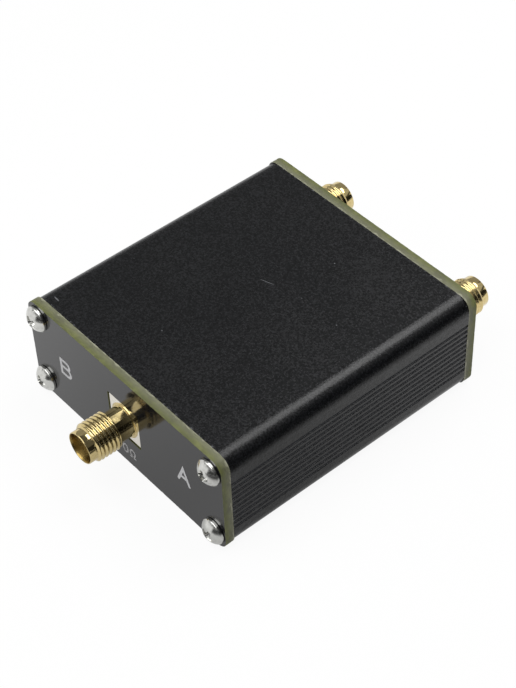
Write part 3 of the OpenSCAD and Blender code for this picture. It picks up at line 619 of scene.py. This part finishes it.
def nickel_steel():
    """Cold-headed steel, nickel-plated: a bright grey mirror with small dents from the tumbling."""
    made, tree, shader, where = surface("nickel_steel", {"Metallic": 1.0})
    dents = add(tree, "ShaderNodeTexNoise", {"Scale": per(0.5), "Detail": 2.0}, {"Vector": where})
    tone = add(tree, "ShaderNodeValToRGB", {"stops": [(0.3, "#c4c4c0"), (0.7, "#d6d6d2")]}, {"Fac": dents})
    rough = add(tree, "ShaderNodeMapRange", {"To Min": 0.15, "To Max": 0.27}, {"Value": dents})
    bump = add(tree, "ShaderNodeBump", {"Distance": 0.003 * MM}, {"Height": dents})
    link(tree, shader, {"Base Color": tone, "Roughness": rough, "Normal": bump})
    return made


def circuit_laminate():
    """Glass laminate under a green solder mask: a satin face with the cloth's weave showing, which
    is drawn two to three times as coarse as it is, so that it shows."""
    made, tree, shader, where = surface("circuit_laminate", {"IOR": 1.5, "Roughness": 0.32})
    across = add(tree, "ShaderNodeTexWave", {"Scale": bands(1.98), "bands_direction": "X"}, {"Vector": where})
    along = add(tree, "ShaderNodeTexWave", {"Scale": bands(1.98), "bands_direction": "Y"}, {"Vector": where})
    weave = add(tree, "ShaderNodeMath", {"operation": "MULTIPLY"}, {0: across, 1: along})
    tone = add(tree, "ShaderNodeValToRGB", {"stops": [(0.0, "#174a2a"), (1.0, "#235f38")]}, {"Fac": weave})
    bump = add(tree, "ShaderNodeBump", {"Distance": 0.006 * MM}, {"Height": weave})
    link(tree, shader, {"Base Color": tone, "Normal": bump})
    return made


def enamelled_wire():
    """Copper wire under amber enamel, wound close: the turns lie side by side as fine ridges, drawn
    coarser than the relay's wire is, so that they show."""
    made, tree, shader, where = surface("enamelled_wire", {"Metallic": 1.0, "Roughness": 0.3})
    turns = add(tree, "ShaderNodeTexWave", {"Scale": bands(0.24), "bands_direction": "X"}, {"Vector": where})
    drift = add(tree, "ShaderNodeTexNoise", {"Scale": per(0.8), "Detail": 2.0}, {"Vector": where})
    tone = add(tree, "ShaderNodeValToRGB", {"stops": [(0.3, "#8f3f17"), (0.7, "#b85c26")]}, {"Fac": drift})
    bump = add(tree, "ShaderNodeBump", {"Distance": 0.02 * MM}, {"Height": turns})
    link(tree, shader, {"Base Color": tone, "Normal": bump})
    return made


# Plain finishes: two colours, roughness from and to, the grain's size and the relief's depth in
# millimetres, and whether the finish is a metal
plain_finishes = {
    # White ink, screen-printed: slightly grey and uneven at the scale of the screen
    "printed_ink": (("#b4b4b6", "#c8c8ca"), (0.5, 0.65), 0.15, 0.003, False),
    # Turned fluoropolymer: waxy white with faint tool marks
    "turned_ptfe": (("#ece9e2", "#f6f4ee"), (0.38, 0.5), 0.4, 0.003, False),
    # Sprung bronze, gold-plated: a bright warm contact
    "gold_bronze": (("#d5ad57", "#e3c277"), (0.14, 0.24), 0.3, 0.001, True),
    # Copper under hot tin: soft grey with a frosted skin
    "tinned_copper": (("#b4b2ac", "#c9c7c1"), (0.28, 0.45), 0.6, 0.008, True),
    # Solder that has set: bright, with shallow flow lines
    "set_solder": (("#b4b6b9", "#cdcfd1"), (0.18, 0.36), 0.5, 0.01, True),
    # Glass-filled polyester, moulded: dull black with a fine spark texture
    "moulded_polyester": (("#1d1d1f", "#29292b"), (0.45, 0.6), 0.12, 0.006, False),
    # Nylon, moulded and left in its own colour: cream and satin
    "moulded_nylon": (("#ddd8c6", "#e8e4d5"), (0.4, 0.52), 0.3, 0.004, False),
    # Soft iron, blanked and annealed: grey with a scaly sheen
    "annealed_iron": (("#7f8285", "#9b9ea1"), (0.32, 0.48), 0.25, 0.004, True),
    # Sintered magnet, ground and nickel-plated: mid grey, with a satin sheen
    "sintered_magnet": (("#5a5d61", "#777a7e"), (0.3, 0.42), 0.1, 0.003, True),
    # Brass strip, stamped: yellow with rolling marks
    "stamped_brass": (("#b9904a", "#cfa862"), (0.26, 0.4), 0.4, 0.003, True),
    # Silver alloy, riveted: white metal with a burnished face
    "contact_silver": (("#cfcfcd", "#e2e2e0"), (0.2, 0.34), 0.15, 0.002, True),
    # Phosphor bronze strip, rolled hard: reddish and smooth
    "rolled_bronze": (("#b0713a", "#c98a50"), (0.24, 0.36), 0.3, 0.002, True),
    # Ferrite, pressed and fired: charcoal, with the grain of the powder
    "fired_ferrite": (("#2b2d2f", "#3c3e41"), (0.5, 0.7), 0.08, 0.006, False),
    # Barium titanate, fired: tan ceramic
    "fired_ceramic": (("#9b7d55", "#b39468"), (0.4, 0.55), 0.15, 0.003, False),
    # Resistor glaze over alumina: black glass
    "resistor_glaze": (("#141416", "#1d1d20"), (0.12, 0.25), 0.3, 0.003, False),
    # Tin, plated matt on the ends of chip parts: pale grey and soft
    "plated_tin": (("#bcbdbf", "#d0d1d3"), (0.35, 0.5), 0.1, 0.004, True),
    # Epoxy, moulded over a diode: black with a ground look
    "moulded_epoxy": (("#1a1a1c", "#252527"), (0.5, 0.65), 0.1, 0.005, False),
}
finishes = {
    "anodised_aluminium": anodised_aluminium(),
    "panel_mask": panel_mask(),
    "laminate_edge": laminate_edge(),
    "gold_brass": gold_brass(),
    "nickel_steel": nickel_steel(),
    "circuit_laminate": circuit_laminate(),
    "enamelled_wire": enamelled_wire(),
}
for name, settings in plain_finishes.items():
    finishes[name] = plain(name, *settings)

finish_nodes = {
    "anodised_aluminium": ["case"],
    "circuit_laminate": ["circuit_board"],
    "tinned_copper": ["signal_tracks", "ground_plane"],
    "set_solder": ["jack_solder"],
    "moulded_polyester": ["relay_base", "relay_cover"],
    "moulded_nylon": ["relay_bobbin", "relay_contact_carrier"],
    "enamelled_wire": ["relay_coil", "choke_winding"],
    "annealed_iron": ["relay_core", "relay_armature"],
    "sintered_magnet": ["relay_magnet"],
    "stamped_brass": ["relay_common_terminals", "relay_contact_terminals", "relay_coil_terminals",
                      "relay_pivot_pins"],
    "contact_silver": ["relay_fixed_contacts", "relay_moving_contacts"],
    "rolled_bronze": ["relay_contact_springs"],
    "fired_ferrite": ["choke_core"],
    "fired_ceramic": ["blocking_capacitors", "bypass_capacitors"],
    "resistor_glaze": ["bias_resistors"],
    "plated_tin": ["choke_terminals", "chip_end_caps", "diode_tabs"],
    "moulded_epoxy": ["flyback_diode"],
    "turned_ptfe": [port + "_jack_insulator" for port in sockets],
    "gold_bronze": [port + "_jack_contact" for port in sockets],
}
for finish, nodes in finish_nodes.items():
    for node in nodes:
        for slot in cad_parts[node].material_slots:
            slot.material = finishes[finish]


# Sockets

def thread_radius(z, angle):
    """How far out the thread's surface lies at a height and an angle round the barrel."""
    turn = z / thread_pitch - angle / (2 * math.pi)
    fall = 0.5 - 0.5 * math.cos(2 * math.pi * turn)
    return thread_crest_r - thread_depth * fall


def socket_mesh(tip):
    """The shell: flange, four legs, and a threaded barrel with its bore, pointing along Z.
    Heights are measured from the back of the flange."""
    boss_top = flange_t + boss_h
    thread_end = tip - lead_l
    thread_start = thread_end - thread_l
    slope_end = thread_end + lead_slope
    reference = tip - mouth_depth
    profile = [
        (boss_r, barrel_chamfer),
        *eased(boss_r, boss_top, boss_rim),
        *eased(neck_r, boss_top, neck_foot),
        (neck_r, thread_start - thread_margin),
    ]
    count = round((slope_end - thread_start) / thread_pitch * thread_steps)
    for i in range(count + 1):
        profile.append((thread_crest_r, thread_start + (slope_end - thread_start) * i / count))
    profile += [
        (lead_r, slope_end + lead_margin),
        *eased(lead_r, tip, lead_lip),
        *eased(mouth_r + mouth_taper, tip, mouth_rim),
        *eased(mouth_r, tip, mouth_flare),
        *eased(mouth_r, reference, mouth_floor),
        *eased(insulator_bore_r, reference, bore_rim),
        (insulator_bore_r, 0.0),
        (boss_r - barrel_chamfer, 0.0),
    ]

    def shape(r, z, angle):
        if r != thread_crest_r:
            return r
        thread = thread_radius(z, angle)
        start = neck_r + (z - thread_start) / thread_run_out * (thread_crest_r - neck_r)
        end = lead_r + (slope_end - z) / lead_slope * (thread_crest_r - lead_r)
        return max(min(thread, start, end), min(neck_r, thread))

    barrel = turned("barrel", profile, around=128, smooth=38, radius_at=shape)
    rim = rounded_square(flange_w, flange_w, flange_corner_r, steps=4)
    hole = circle_points(0, 0, boss_r - flange_hole_gap, count=96)
    levels = [(0, edge_break), (edge_break, 0), (flange_t - edge_break, 0), (flange_t, edge_break)]
    parts = [barrel, plate("flange", [rim, hole], levels, smooth=20)]
    half = flange_w / 2
    upper = (board_top - axis_z, board_top - axis_z + leg_h)
    lower = (-half, board_low - axis_z)
    for x in (-half, half - leg_w):
        for low, high in (upper, lower):
            parts.append(block("leg", (x, low, -leg_l), (x + leg_w, high, leg_root), edge_break))
    return joined("socket", parts)


shared_socket = socket_mesh(-shell_low.y - back_y)
shared_socket.materials.append(finishes["gold_brass"])
for port, side in sockets.items():
    node = port + "_jack_shell"
    low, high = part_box(node)
    stand = facing(side, (low.x + high.x) / 2, side * back_y, axis_z)
    shell = piece(port + "_socket", shared_socket, stand)
    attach(shell, "housing")
    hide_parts(node)


# Screws

def recess_cutter(top):
    """The cross recess: four wings with sloping ends round a cone that runs to a point."""
    verts = []
    for share in recess_levels:
        reach = recess_reach * (1 - reach_taper * share)
        half = recess_w / 2 * (1 - width_taper * share)
        inner = max(recess_core * (1 - core_taper * share), half * wing_root)
        flank = reach - half * wing_end_l
        end = half * wing_end_w
        wing = [(flank, -half), (reach, -end), (reach, end), (flank, half), (inner, half)]
        for quarter in range(4):
            turn = Matrix.Rotation(math.pi / 2 * quarter, 2)
            for point in wing:
                verts.append((*(turn @ Vector(point)), top - recess_depth * share))
    around = len(verts) // len(recess_levels)
    faces = ring_faces(len(recess_levels), around, False)
    faces.append(tuple(range(around)))
    tip = len(verts)
    verts.append((0, 0, top - recess_depth - recess_tip))
    last = tip - around
    for j in range(around):
        faces.append((last + j, last + (j + 1) % around, tip))
    return mesh_of("recess", verts, faces)


def pan_head():
    """Half section of a pan head on its seat at height 0, from the crown down."""
    tilt = math.asin((head_r - shoulder_r) / (dome_r - shoulder_r))
    x = head_r - shoulder_r
    y = head_h - dome_r + (dome_r - shoulder_r) * math.cos(tilt)
    points = []
    for i in range(dome_steps + 1):
        angle = max(tilt * i / dome_steps, crown_start)
        points.append((dome_r * math.sin(angle), head_h - dome_r + dome_r * math.cos(angle)))
    for i in range(1, shoulder_steps + 1):
        angle = tilt + (math.pi / 2 - tilt) * i / shoulder_steps
        points.append((x + shoulder_r * math.sin(angle), y + shoulder_r * math.cos(angle)))
    return points + [*eased(head_r, 0.0, pan_foot), (axis_r, 0.0)]


def flat_head():
    """Half section of a countersunk head, its face just below the panel's at height 0."""
    low = -flat_rim - (flat_head_r - shank_r)
    return [
        (axis_r, -flat_sunk), *eased(flat_head_r, -flat_sunk, flat_brim), (flat_head_r, -flat_rim),
        (shank_r, low), (axis_r, low),
    ]


def shank_mesh(top):
    """The threaded shank, from inside the head down to its point."""
    start = top - shank_margin
    end = shank_point - shank_l
    count = round(shank_l / shank_pitch * shank_steps)
    profile = [(axis_r, top), (shank_r * shank_top_share, top)]
    profile += [(shank_r, start + (end - start) * i / count) for i in range(count + 1)]
    profile += [(shank_r * shank_point_share, -shank_l), (axis_r, -shank_l)]

    def shape(r, z, angle):
        if r != shank_r:
            return r
        turn = abs((z / shank_pitch - angle / (2 * math.pi)) % 1 - 0.5) * 2
        return shank_r - shank_crest - shank_depth * (1 - turn)

    return turned("shank", profile, around=48, smooth=42, radius_at=shape)


def screw_mesh(name, profile, top, shank_from):
    """A screw whose seat is at height 0: its head, cut by the cross recess, and its shank."""
    body = piece("head", turned("head", profile, around=96, smooth=30))
    cutter = piece("recess", recess_cutter(top))
    cut = body.modifiers.new("recess", "BOOLEAN")
    cut.operation = "DIFFERENCE"
    cut.solver = "EXACT"
    cut.object = cutter
    head = settled(body)
    for used in (body, cutter):
        bpy.data.objects.remove(used)
    tidy_mesh(head, smooth=32)
    mesh = joined(name, [head, shank_mesh(shank_from)])
    mesh.materials.clear()
    mesh.materials.append(finishes["nickel_steel"])
    return mesh


screw_meshes = {
    "front": screw_mesh("pan_head_screw", pan_head(), head_h, shank_top["front"]),
    "rear": screw_mesh("flat_head_screw", flat_head(), -flat_sunk, shank_top["rear"]),
}
screw_places = {"front": [], "rear": []}
for end, side in (("front", -1), ("rear", 1)):
    low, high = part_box(end + "_panel_screws")
    edge = solid_head_r[end]
    for (sx, sz), turn in screw_turns[end].items():
        x = (high.x - edge) * sx
        z = high.z - edge if sz > 0 else low.z + edge
        screw_places[end].append((x, z))
        mesh = screw_meshes[end].copy()
        mesh.transform(Matrix.Rotation(math.radians(turn), 4, "Z"))
        names = ("left" if sx < 0 else "right", "lower" if sz < 0 else "upper")
        screw = piece("_".join((end, "screw") + names), mesh, facing(side, x, side * face_y, z))
        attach(screw, "housing")
        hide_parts(end + "_panel_screws")


# Panels

def in_steps(outline, step):
    """The same closed outline with a point at least every step."""
    points = []
    for i, start in enumerate(outline):
        a, b = Vector(start), Vector(outline[(i + 1) % len(outline)])
        count = max(1, round((b - a).length / step))
        points += [tuple(a.lerp(b, k / count)) for k in range(count)]
    return points


def panel_piece(end, side):
    """A laminate panel with its cut-outs and screw holes. The router leaves its edges a little torn,
    and the rear one's screw holes are countersunk."""
    low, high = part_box(end + "_panel")
    middle = (high.z - low.z) / 2
    thick = high.y - low.y
    rim = rounded_square(high.x - low.x, high.z - low.z, panel_corner_r, steps=10)
    outlines = [in_steps(rim, tear_pitch)]
    cutout_w = flange_w + 2 * cutout_gap
    for port, port_side in sockets.items():
        if port_side == side:
            a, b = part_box(port + "_jack_shell")
            centre = (a.x + b.x) / 2 * -side
            cut = rounded_square(cutout_w, cutout_w, cutout_r, steps=4)
            outlines.append([(x + centre, z + axis_z - middle) for x, z in cut])
    holes = [Vector((x * -side, z - middle)) for x, z in screw_places[end]]
    for hole in holes:
        outlines.append(circle_points(hole.x, hole.y, screw_hole_r, count=48))
    hole_reach = screw_hole_r + screw_hole_reach
    cone = flat_head_r - screw_hole_r
    cone_depth = cone + flat_rim

    def torn(point, height, rim=0.0, share=1.0):
        if end == "rear" and min((point - hole).length for hole in holes) < hole_reach:
            sink = cone_depth - (thick - height)
            return min(max(sink, 0.0), cone) + screw_hole_gap
        here = Vector((point.x, point.y, height + side)) / tear_size
        fine = fine_tear_share * max(0.0, noise.noise(here * fine_tear_scale))
        tear = max(0.0, noise.noise(here)) + fine
        return rim + share * tear_depth * tear

    def torn_rim(point, height):
        return torn(point, height, rim_break, rim_tear)

    levels = [(0, torn_rim), (rim_break, torn), (thick * 0.25, torn)]
    levels += [(thick - depth, torn) for depth in (cone_depth, (cone_depth + flat_rim) / 2, flat_rim)]
    levels += [(thick - rim_break, torn), (thick, torn_rim)]
    mesh = plate(end + "_panel", outlines, levels, smooth=20)
    mesh.materials.append(finishes["laminate_edge"])
    mesh.materials.append(finishes["panel_mask"])
    for face in mesh.polygons:
        face.material_index = 1 if abs(face.normal.z) > 0.9 else 0
    inner_y = min(abs(low.y), abs(high.y))
    made = piece(end + "_panel_plate", mesh, facing(side, 0, side * inner_y, middle))
    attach(made, "housing")
    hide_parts(end + "_panel")


panel_piece("front", -1)
panel_piece("rear", 1)


# Print

def stroke(path, width, closed):
    """A printed line along a path, with round ends."""
    points = [Vector(p) for p in path]
    count = len(points)
    left, right = [], []
    for i, p in enumerate(points):
        before = points[i - 1] if closed or i > 0 else None
        after = points[(i + 1) % count] if closed or i < count - 1 else None
        d1 = (p - before).normalized() if before else None
        d2 = (after - p).normalized() if after else None
        d1, d2 = d1 or d2, d2 or d1
        n1, n2 = Vector((-d1.y, d1.x)), Vector((-d2.y, d2.x))
        mid = (n1 + n2).normalized()
        reach = width / 2 / max(mid.dot(n1), mitre_limit)
        left.append(p + mid * reach)
        right.append(p - mid * reach)
    if closed:
        return [[tuple(p) for p in left], [tuple(p) for p in right]]
    outline = list(left)
    for end, direction in ((points[-1], points[-1] - points[-2]), (points[0], points[0] - points[1])):
        start_angle = math.atan2(direction.y, direction.x) + math.pi / 2
        for i in range(1, round_end_steps):
            angle = start_angle - math.pi * i / round_end_steps
            outline.append(end + Vector((math.cos(angle), math.sin(angle))) * width / 2)
        if end is points[-1]:
            outline += right[::-1]
    return [[tuple(p) for p in outline]]


def arc(cx, cy, rx, ry, start, end, steps):
    """Points along an ellipse, in degrees."""
    return [
        (cx + rx * math.cos(math.radians(start + (end - start) * i / steps)),
         cy + ry * math.sin(math.radians(start + (end - start) * i / steps)))
        for i in range(steps + 1)
    ]


def letter_paths(letter, w, h):
    """Centre lines of a letter round its middle, each with whether it closes on itself. The letter O
    stands for the ohm sign."""
    x, y = w / 2, h / 2
    waist = 0.05 * h
    if letter == "A":
        bar = [(-0.66 * x, -0.32 * y), (0.66 * x, -0.32 * y)]
        return [([(-x, -y), (0, y), (x, -y)], False), (bar, False)]
    if letter == "B":
        upper = arc(x - 0.3 * h, (y + waist) / 2, 0.24 * h, (y - waist) / 2, 90, -90, 12)
        lower = arc(x - 0.28 * h, (waist - y) / 2, 0.28 * h, (y + waist) / 2, 90, -90, 12)
        return [([(-x, waist), (-x, y)] + upper, True), ([(-x, -y), (-x, waist)] + lower, True)]
    if letter == "5":
        bowl = arc(-0.1 * x, -0.38 * y, 1.0 * x, 0.62 * y, 115, -140, 14)
        return [([(0.85 * x, y), (-0.75 * x, y), (-0.85 * x, 0.1 * y)] + bowl, False)]
    if letter == "0":
        return [(arc(0, 0, 0.85 * x, y, 0, 360, 28)[:-1], True)]
    loop = arc(0, 0.18 * y, 0.9 * x, 0.82 * y, -58, 238, 20)
    return [([(x, -y), (0.48 * x, -y)] + loop + [(-0.48 * x, -y), (-x, -y)], False)]


def print_piece(name, letters, w, h, pitch, x, z, width):
    """A short row of letters on the front panel. Each stroke is a hair thicker than the one before,
    so that no two of their faces meet."""
    parts = []
    for i, letter in enumerate(letters):
        for path, closed in letter_paths(letter, w, h):
            moved = [(a + (i - (len(letters) - 1) / 2) * pitch, b) for a, b in path]
            levels = [(0, 0), (print_t + len(parts) * print_step, 0)]
            parts.append(plate("stroke", stroke(moved, width, closed), levels, smooth=20))
    mesh = joined(name, parts)
    mesh.materials.append(finishes["printed_ink"])
    made = piece(name, mesh, facing(-1, x, -face_y, z))
    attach(made, "housing")


for letter, x in port_letter_x.items():
    print_piece("port_letter_" + letter.lower(), letter, port_letter_w[letter], port_letter_h, 0,
                x, port_letter_z, port_letter_stroke)
print_piece("impedance_mark", "50O", mark_w, mark_h, mark_pitch, mark_x, mark_z, mark_stroke)


# Stage, light and camera

def sheet(name, width, height):
    """A flat rectangle round the origin."""
    x, y = width / 2, height / 2
    return mesh_of(name, [(-x, -y, 0), (x, -y, 0), (x, y, 0), (-x, y, 0)], [(0, 1, 2, 3)])


def white_where_seen(tree, to_camera):
    """The share of white towards the camera and glass, and towards glossy surfaces all of it. The
    rest is lit as usual."""
    ray = add(tree, "ShaderNodeLightPath")
    seen = add(tree, "ShaderNodeMath", {"operation": "MAXIMUM"},
               {0: ray.outputs["Is Camera Ray"], 1: ray.outputs["Is Transmission Ray"]})
    seen = add(tree, "ShaderNodeMath", {"operation": "MULTIPLY", 1: to_camera}, {0: seen})
    return add(tree, "ShaderNodeMath", {"operation": "MAXIMUM"}, {0: seen, 1: ray.outputs["Is Glossy Ray"]})


def painted_shade_in_gloss(tree):
    """How white the floor is: all white towards the camera, and towards glossy surfaces darker
    close to the part, as painted shade, and dark further to the right, as a painted dark patch."""
    place = add(tree, "ShaderNodeNewGeometry").outputs["Position"]
    away = add(tree, "ShaderNodeVectorMath", {"operation": "DISTANCE", 1: painted_shade_middle}, {0: place})
    near = add(tree, "ShaderNodeMapRange",
               {"From Min": painted_shade_reach[0], "From Max": painted_shade_reach[1], "To Min": painted_shade_tone, "To Max": 1.0},
               {"Value": away})
    aside = add(tree, "ShaderNodeVectorMath", {"operation": "DOT_PRODUCT", 1: dark_patch_side}, {0: place})
    aside = add(tree, "ShaderNodeMapRange",
                {"From Min": dark_patch_reach[0], "From Max": dark_patch_reach[1], "To Min": 1.0, "To Max": dark_patch_tone},
                {"Value": aside})
    fade = add(tree, "ShaderNodeMath", {"operation": "MULTIPLY"}, {0: near, 1: aside})
    ray = add(tree, "ShaderNodeLightPath").outputs["Is Camera Ray"]
    return add(tree, "ShaderNodeMath", {"operation": "MAXIMUM"}, {0: fade, 1: ray})


def floor_stage():
    """A pale floor that stays white and keeps the part's soft shadow. Towards glossy surfaces it has shade
    painted on it round the part, and a dark patch painted further to the right.
    """
    mesh = sheet("floor", floor_size, floor_size)
    made = bpy.data.materials.new("pale_floor")
    tree = empty_tree(made)
    lit = add(tree, "ShaderNodeBsdfDiffuse", {"Color": linear("#e6e6e6")})
    # Towards glossy surfaces this white is dimmed by the painted shade and the painted dark patch
    white = add(tree, "ShaderNodeEmission", {"Color": (1, 1, 1, 1)}, {"Strength": painted_shade_in_gloss(tree)})
    mixed = add(tree, "ShaderNodeMixShader", None,
                {0: white_where_seen(tree, floor_white), 1: lit, 2: white})
    add(tree, "ShaderNodeOutputMaterial", None, {"Surface": mixed})
    mesh.materials.append(made)
    piece("floor", mesh)


def surroundings():
    """White surroundings that give even, plain light."""
    world = bpy.data.worlds.new("studio")
    bpy.context.scene.world = world
    tree = empty_tree(world)
    lit = add(tree, "ShaderNodeBackground", {"Color": (1, 1, 1, 1), "Strength": 0.5})
    white = add(tree, "ShaderNodeBackground", {"Color": (1, 1, 1, 1), "Strength": 1.0})
    mixed = add(tree, "ShaderNodeMixShader", None, {0: white_where_seen(tree, 1.0), 1: lit, 2: white})
    add(tree, "ShaderNodeOutputWorld", None, {"Surface": mixed})


def aimed(place, aim, roll):
    """The turn of a lamp or card that faces a point, rolled on its own axis by some degrees."""
    faced = (Vector(aim) - Vector(place)).to_track_quat("-Z", "Y")
    return (faced.to_matrix() @ Matrix.Rotation(math.radians(roll), 3, "Z")).to_euler()


def soft_box(name, place, size, power, aim=(0, 0, 0), roll=0):
    """A soft box: an oblong lamp that the camera doesn't see."""
    lamp = bpy.data.lights.new(name, "AREA")
    lamp.shape = "RECTANGLE"
    lamp.size, lamp.size_y = size
    lamp.energy = power
    made = bpy.data.objects.new(name, lamp)
    bpy.context.scene.collection.objects.link(made)
    made.location = place
    made.rotation_euler = aimed(place, aim, roll)
    made.visible_camera = False


def dark_flag(name, place, size, tone, aim=(0, 0, 0), shades=False):
    """A black or grey card for the reflections, as a photographer hangs round a glossy thing. One
    that shades also keeps light off."""
    mesh = sheet(name, *size)
    card = bpy.data.materials.new(name)
    tree = empty_tree(card)
    glow = add(tree, "ShaderNodeEmission", {"Color": (1, 1, 1, 1), "Strength": tone})
    add(tree, "ShaderNodeOutputMaterial", None, {"Surface": glow})
    mesh.materials.append(card)
    made = piece(name, mesh)
    made.location = place
    made.rotation_euler = aimed(place, aim, 0)
    made.visible_camera = False
    made.visible_diffuse = shades
    made.visible_shadow = False
    made.visible_transmission = False


floor_stage()
surroundings()
dark_flag("ceiling_flag", place=(0, 0.2, 0.7), aim=(0, 0.2, 0), size=(2.6, 2.6), tone=0.12)
dark_flag("right_flag", place=(1.2, 0.2, 0.36), aim=(0, 0.2, 0.36), size=(3.2, 0.68), tone=0.025, shades=True)
dark_flag("front_flag", place=(0.62, -1.2, 0.36), aim=(0.62, 0, 0.36), size=(1.2, 0.68), tone=0.06)
dark_flag("left_card", place=(-0.39, 0.32, 0.38), size=(0.8, 0.72), tone=0.36)
dark_flag("rear_card", place=(0.2, 0.42, 0.5), size=(0.5, 0.4), tone=0.55)
dark_flag("front_card", place=(-0.38, -0.22, 0.46), size=(0.34, 0.34), tone=0.7)
soft_box("key", place=(-0.062, -0.405, 0.432), size=(0.74, 0.042), power=0.2, roll=19)
soft_box("top", place=(0.005, 0.145, 0.32), aim=(0, 0, 0.01), size=(0.21, 0.21), power=0.62)
soft_box("front_top", place=(-0.03, -0.17, 0.4), aim=(0, 0, 0.01), size=(0.42, 0.16), power=0.85)

camera_data = bpy.data.cameras.new("camera")
camera_data.lens = view_lens
camera_data.sensor_width = view_sensor
camera_data.clip_start = view_clip
camera = bpy.data.objects.new("camera", camera_data)
bpy.context.scene.collection.objects.link(camera)
turn = Matrix.Rotation(view_azimuth, 4, "Z") @ Matrix.Rotation(math.pi / 2 - view_elevation, 4, "X")
back = (turn @ Vector((0, 0, 1))).normalized()
camera.matrix_world = (
    Matrix.Translation(view_aim + back * view_distance) @ turn @ Matrix.Rotation(view_roll, 4, "Z")
)
bpy.context.scene.camera = camera

bpy.context.scene.view_settings.view_transform = "Standard"
